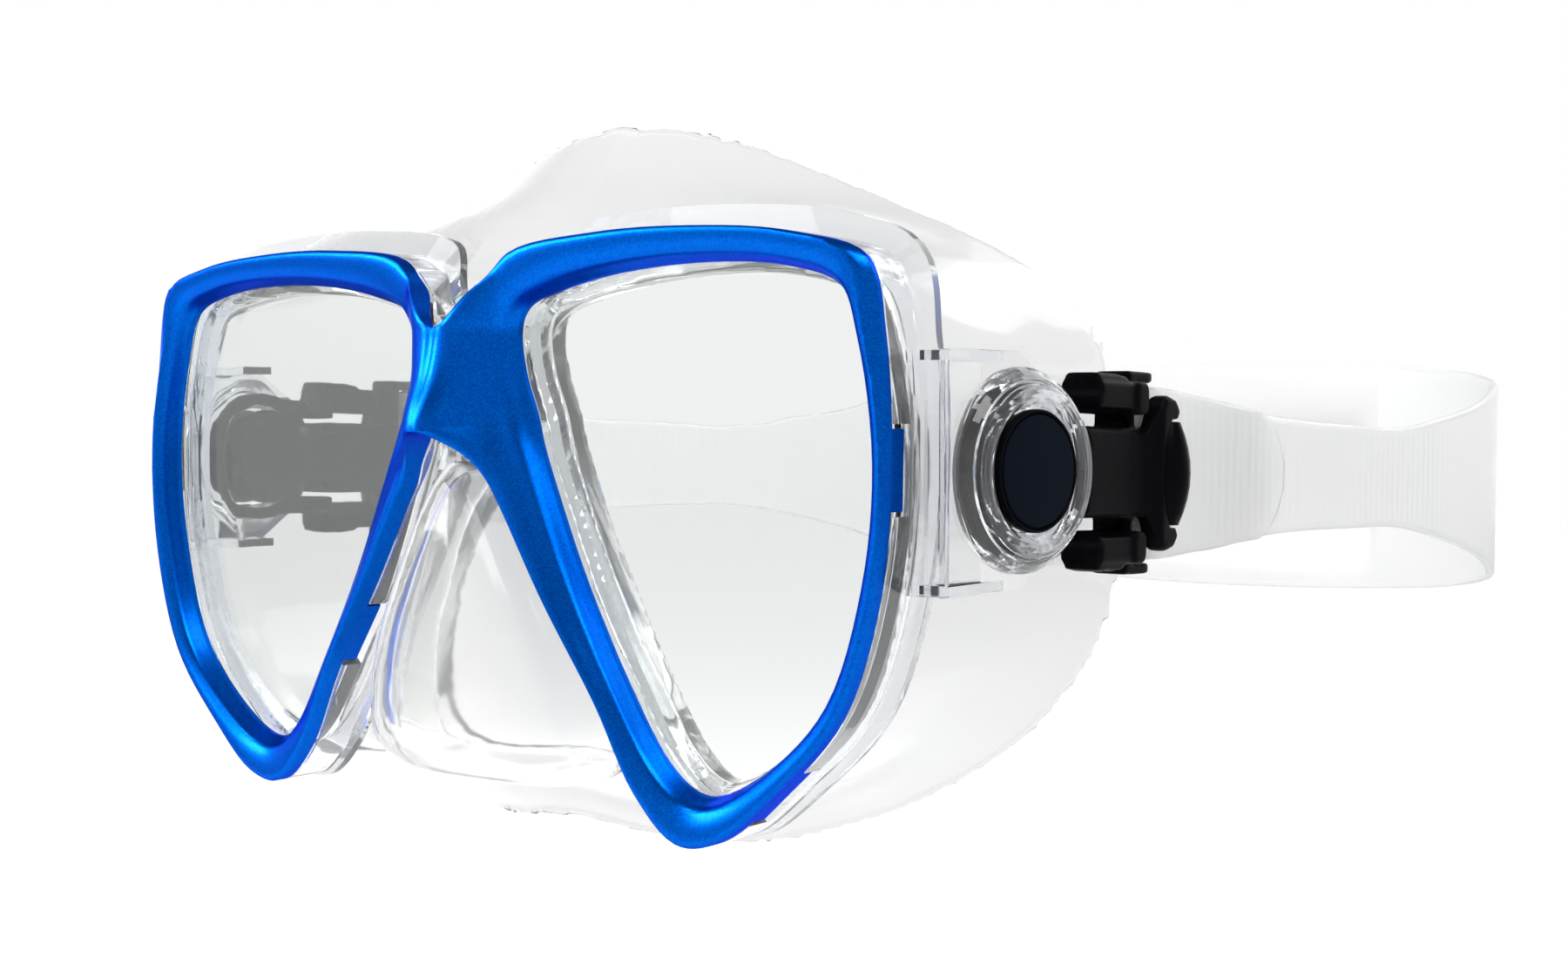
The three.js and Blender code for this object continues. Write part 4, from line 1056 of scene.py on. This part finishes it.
def strap_side_run():
    """The left half of the band from above, as x, y and half width, from its tail to the back."""
    full = strap_width / 2
    tail = tail_width / 2
    tail_x = roller_x + wrap_radius
    layer_x = tail_x - strap_thickness - seat_gap
    run = [
        (tail_x, tail_end, tail),
        (tail_x, mix(tail_end, roller_y, 0.5), mix(full, tail, 0.5)),
        (tail_x, roller_y + wrap_radius, full),
    ]
    for i in range(fold_steps + 1):
        angle = -math.pi * i / fold_steps
        x = roller_x + wrap_radius * math.cos(angle)
        run.append((x, roller_y + wrap_radius * math.sin(angle), full))
    run.append((roller_x - wrap_radius + seat_gap, roller_y + 2 * wrap_radius, full))
    run.append((layer_x, roller_y + layer_ease, mix(full, tail, 0.25)))
    run.append((layer_x, tail_end, tail))
    for across, along, wide in rear_shares:
        run.append((strap_side * across, mix(tail_end, strap_rear, along), wide * pad_width / 2))
    return run


left_run = strap_side_run()
right_run = [(-x, y, half) for x, y, half in reversed(left_run)]
strap_run = left_run + [(0, strap_rear, pad_width / 2)] + right_run
strap_line = line_through(strap_run)
fine = [strap_line(i / line_steps) for i in range((len(strap_run) - 1) * line_steps + 1)]
reach = [0]
for a, b in zip(fine, fine[1:]):
    reach.append(reach[-1] + (b - a).xy.length)
strap_length = reach[-1]
strap_rows = []
row_total = round(strap_length / row_step)
spot = 0
tail_radius = tail_width / 2
thick = strap_thickness / 2
for row in range(row_total + 1):
    at_length = strap_length * row / row_total
    while spot < len(reach) - 2 and reach[spot + 1] < at_length:
        spot += 1
    share = (at_length - reach[spot]) / (reach[spot + 1] - reach[spot])
    at = fine[spot].lerp(fine[spot + 1], share)
    along = (fine[spot + 1] - fine[spot]).xy.normalized()
    out_side = Vector((-along.y, along.x))
    from_end = min(at_length, strap_length - at_length)
    short = 1 - min(max(from_end, tip_blunt) / tail_radius, 1)
    half = at.z * math.sqrt(1 - short**2)
    ribbed = smooth(*ribs_start, from_end) * (1 - smooth(*ribs_end, from_end))
    rib = rib_height * ribbed * max(math.cos(2 * math.pi * at_length / rib_pitch), 0)
    inset = min(edge_round, half / 3)
    section = [
        (thick + rib, half - inset - rib_margin),
        (thick + rib, -half + inset + rib_margin),
        (thick, -half + inset),
        (thick - edge_step, -half),
        (-thick + edge_step, -half),
        (-thick, -half + inset),
        (-thick - rib, -half + inset + rib_margin),
        (-thick - rib, half - inset - rib_margin),
        (-thick, half - inset),
        (-thick + edge_step, half),
        (thick - edge_step, half),
        (thick, half - inset),
    ]
    strap_rows.append(
        [Vector((at.x + out_side.x * t, at.y + out_side.y * t, h)) * MM for t, h in section]
    )
strap_mesh = hang(closed_loops(strap_rows))
strap_silicone = silicone_material("strap_silicone", 0.8, 0.3, 24)
strap = make_piece(
    strap_mesh, "strap_moulding", strap_silicone, "left_buckle", "strap", "head_strap"
)
straight = slot_half_length - slot_half_height
slot_outline = [
    (side * straight + slot_half_height * math.cos(angle), slot_half_height * math.sin(angle))
    for side, start in ((1, -math.pi / 2), (-1, math.pi / 2))
    for angle in (start + math.pi * i / slot_arc_steps for i in range(slot_arc_steps + 1))
]
slot = drawn_out([(x, strap_rear - slot_reach, z) for x, z in slot_outline], 0, 2 * slot_reach, 0)
change_by(strap, "DIFFERENCE", hang(slot))

# Buckles: black moulded parts with a fine spark-eroded texture, smooth rollers and cams, steel
# pins, and a matt disc let into each stud's head.
def grain_group():
    """Fine moulding texture: grains that lift the surface and vary its gloss."""
    group = bpy.data.node_groups.new("moulding_grain", "ShaderNodeTree")
    group.interface.new_socket("Scale", in_out="INPUT", socket_type="NodeSocketFloat")
    group.interface.new_socket("Depth", in_out="INPUT", socket_type="NodeSocketFloat")
    group.interface.new_socket("Gloss", in_out="INPUT", socket_type="NodeSocketFloat")
    group.interface.new_socket("Roughness", in_out="OUTPUT", socket_type="NodeSocketFloat")
    group.interface.new_socket("Normal", in_out="OUTPUT", socket_type="NodeSocketVector")
    given = add_node(group, "NodeGroupInput")
    result = add_node(group, "NodeGroupOutput")
    where = add_node(group, "ShaderNodeTexCoord")
    noise = add_node(group, "ShaderNodeTexNoise")
    noise.inputs["Detail"].default_value = 3
    bump = add_node(group, "ShaderNodeBump")
    bump.inputs["Distance"].default_value = 0.05 * MM
    spread = add_node(group, "ShaderNodeMath", operation="MULTIPLY_ADD")
    spread.inputs[1].default_value = 0.18
    group.links.new(where.outputs["Object"], noise.inputs["Vector"])
    group.links.new(given.outputs["Scale"], noise.inputs["Scale"])
    group.links.new(noise.outputs["Fac"], bump.inputs["Height"])
    group.links.new(given.outputs["Depth"], bump.inputs["Strength"])
    group.links.new(noise.outputs["Fac"], spread.inputs[0])
    group.links.new(given.outputs["Gloss"], spread.inputs[2])
    group.links.new(spread.outputs[0], result.inputs["Roughness"])
    group.links.new(bump.outputs["Normal"], result.inputs["Normal"])
    return group


moulding_grain = grain_group()


def grained_material(name, color, scale, depth, gloss, metallic=0, shine=0.025):
    material, tree, shader = plain_material(name)
    grains = add_node(tree, "ShaderNodeGroup")
    grains.node_tree = moulding_grain
    grains.inputs["Scale"].default_value = scale
    grains.inputs["Depth"].default_value = depth
    grains.inputs["Gloss"].default_value = gloss
    tree.links.new(grains.outputs["Roughness"], shader.inputs["Roughness"])
    tree.links.new(grains.outputs["Normal"], shader.inputs["Normal"])
    shader.inputs["Base Color"].default_value = color
    shader.inputs["Metallic"].default_value = metallic
    shader.inputs["Specular IOR Level"].default_value = shine
    return material


black_moulding = grained_material("black_moulding", (0.002, 0.002, 0.003, 1), 3200, 0.5, 0.34)
smooth_black = grained_material("smooth_black", (0.002, 0.002, 0.003, 1), 1500, 0.2, 0.22)
matt_black = grained_material("matt_black", (0.003, 0.005, 0.01, 1), 5000, 0.6, 0.55)
drawn_steel = grained_material(
    "drawn_steel", (0.6, 0.61, 0.62, 1), 2500, 0.2, 0.2, metallic=1, shine=0.5
)


def dress(node, material, body, slot, width):
    """A node's own solid with its edges rounded and its surface finished."""
    mesh = bmesh.new()
    mesh.from_mesh(nodes[node].data)
    bmesh.ops.remove_doubles(mesh, verts=mesh.verts, dist=weld)
    flat = math.radians(1)
    bmesh.ops.dissolve_limit(mesh, angle_limit=flat, verts=mesh.verts, edges=mesh.edges)
    made = make_piece(mesh, node + "_moulding", material, body, slot, node)
    return soften(made, width, 30) if width else made


head_profile = [
    (0, 78.4), (7.6, 78.4), (7.9, 78.6), (8.0, 79.0), (8.0, 79.9), (7.85, 80.1), (7.65, 80.1),
    (7.4, 79.7), (0, 79.7),
]
disc_profile = [(0, 79.75), (7.2, 79.75), (7.3, 79.95), (7.15, 80.15), (6.9, 80.2), (0, 80.2)]
tab_front_x = 75.7
tab_front_reach = 14.4
tab_corner_x = 71
tab_corner_reach = 14.9
tab_corner_rise = 10.1
trim_x = 90
trim_rise = 20
corner_y = pivot.y + tab_corner_reach
tab_trims = [
    block_between(
        (tab_front_x, pivot.y, pivot.z - trim_rise),
        (trim_x, pivot.y + tab_front_reach, pivot.z + trim_rise),
    ),
    block_between(
        (tab_corner_x, pivot.y, pivot.z + tab_corner_rise),
        (trim_x, corner_y, pivot.z + trim_rise),
    ),
    block_between(
        (tab_corner_x, pivot.y, pivot.z - trim_rise),
        (trim_x, corner_y, pivot.z - tab_corner_rise),
    ),
]
body_voxel = 0.3
body_ease = 10
arm_voxel = 0.28
arm_ease = 14
post_profile = [(0, 70), (6.6, 70), (6.6, 70.8), (5.6, 71), (5.6, 79), (0, 79)]
for side in ("left", "right"):
    buckle = side + "_buckle"
    sign = 1 if side == "left" else -1
    head = turned_copy(lean_face(turn_on_x(head_profile, pivot)), sign)
    disc = turned_copy(lean_face(turn_on_x(disc_profile, pivot)), sign)
    post = turned_copy(turn_on_x(post_profile, pivot), sign)
    stud = make_piece(
        head, side + "_stud_head", black_moulding, buckle, "buckle", side + "_swivel_stud"
    )
    change_by(stud, "UNION", post)
    soften(stud, 0.1, 40)
    make_piece(disc, side + "_badge", matt_black, buckle, "badge", side + "_badge_disc")
    dress(side + "_clip_ring", black_moulding, buckle, "buckle", 0.25)
    body = dress(side + "_buckle_body", black_moulding, buckle, "buckle", 0)
    flow(body, body_voxel, body_ease)
    for place in ("_upper", "_lower"):
        arm = dress(
            side + place + "_release_arm", black_moulding, side + place + "_arm", "buckle", 0
        )
        for trim in tab_trims:
            change_by(arm, "DIFFERENCE", turned_copy(trim, sign))
        flow(arm, arm_voxel, arm_ease)
    dress(side + "_strap_roller", smooth_black, side + "_roller", "roller", 0.1)
    dress(side + "_locking_cam", smooth_black, side + "_cam", "roller", 0.3)
    dress(side + "_roller_pin", drawn_steel, buckle, "pin", 0.1)
    dress(side + "_cam_pin", drawn_steel, buckle, "pin", 0.1)
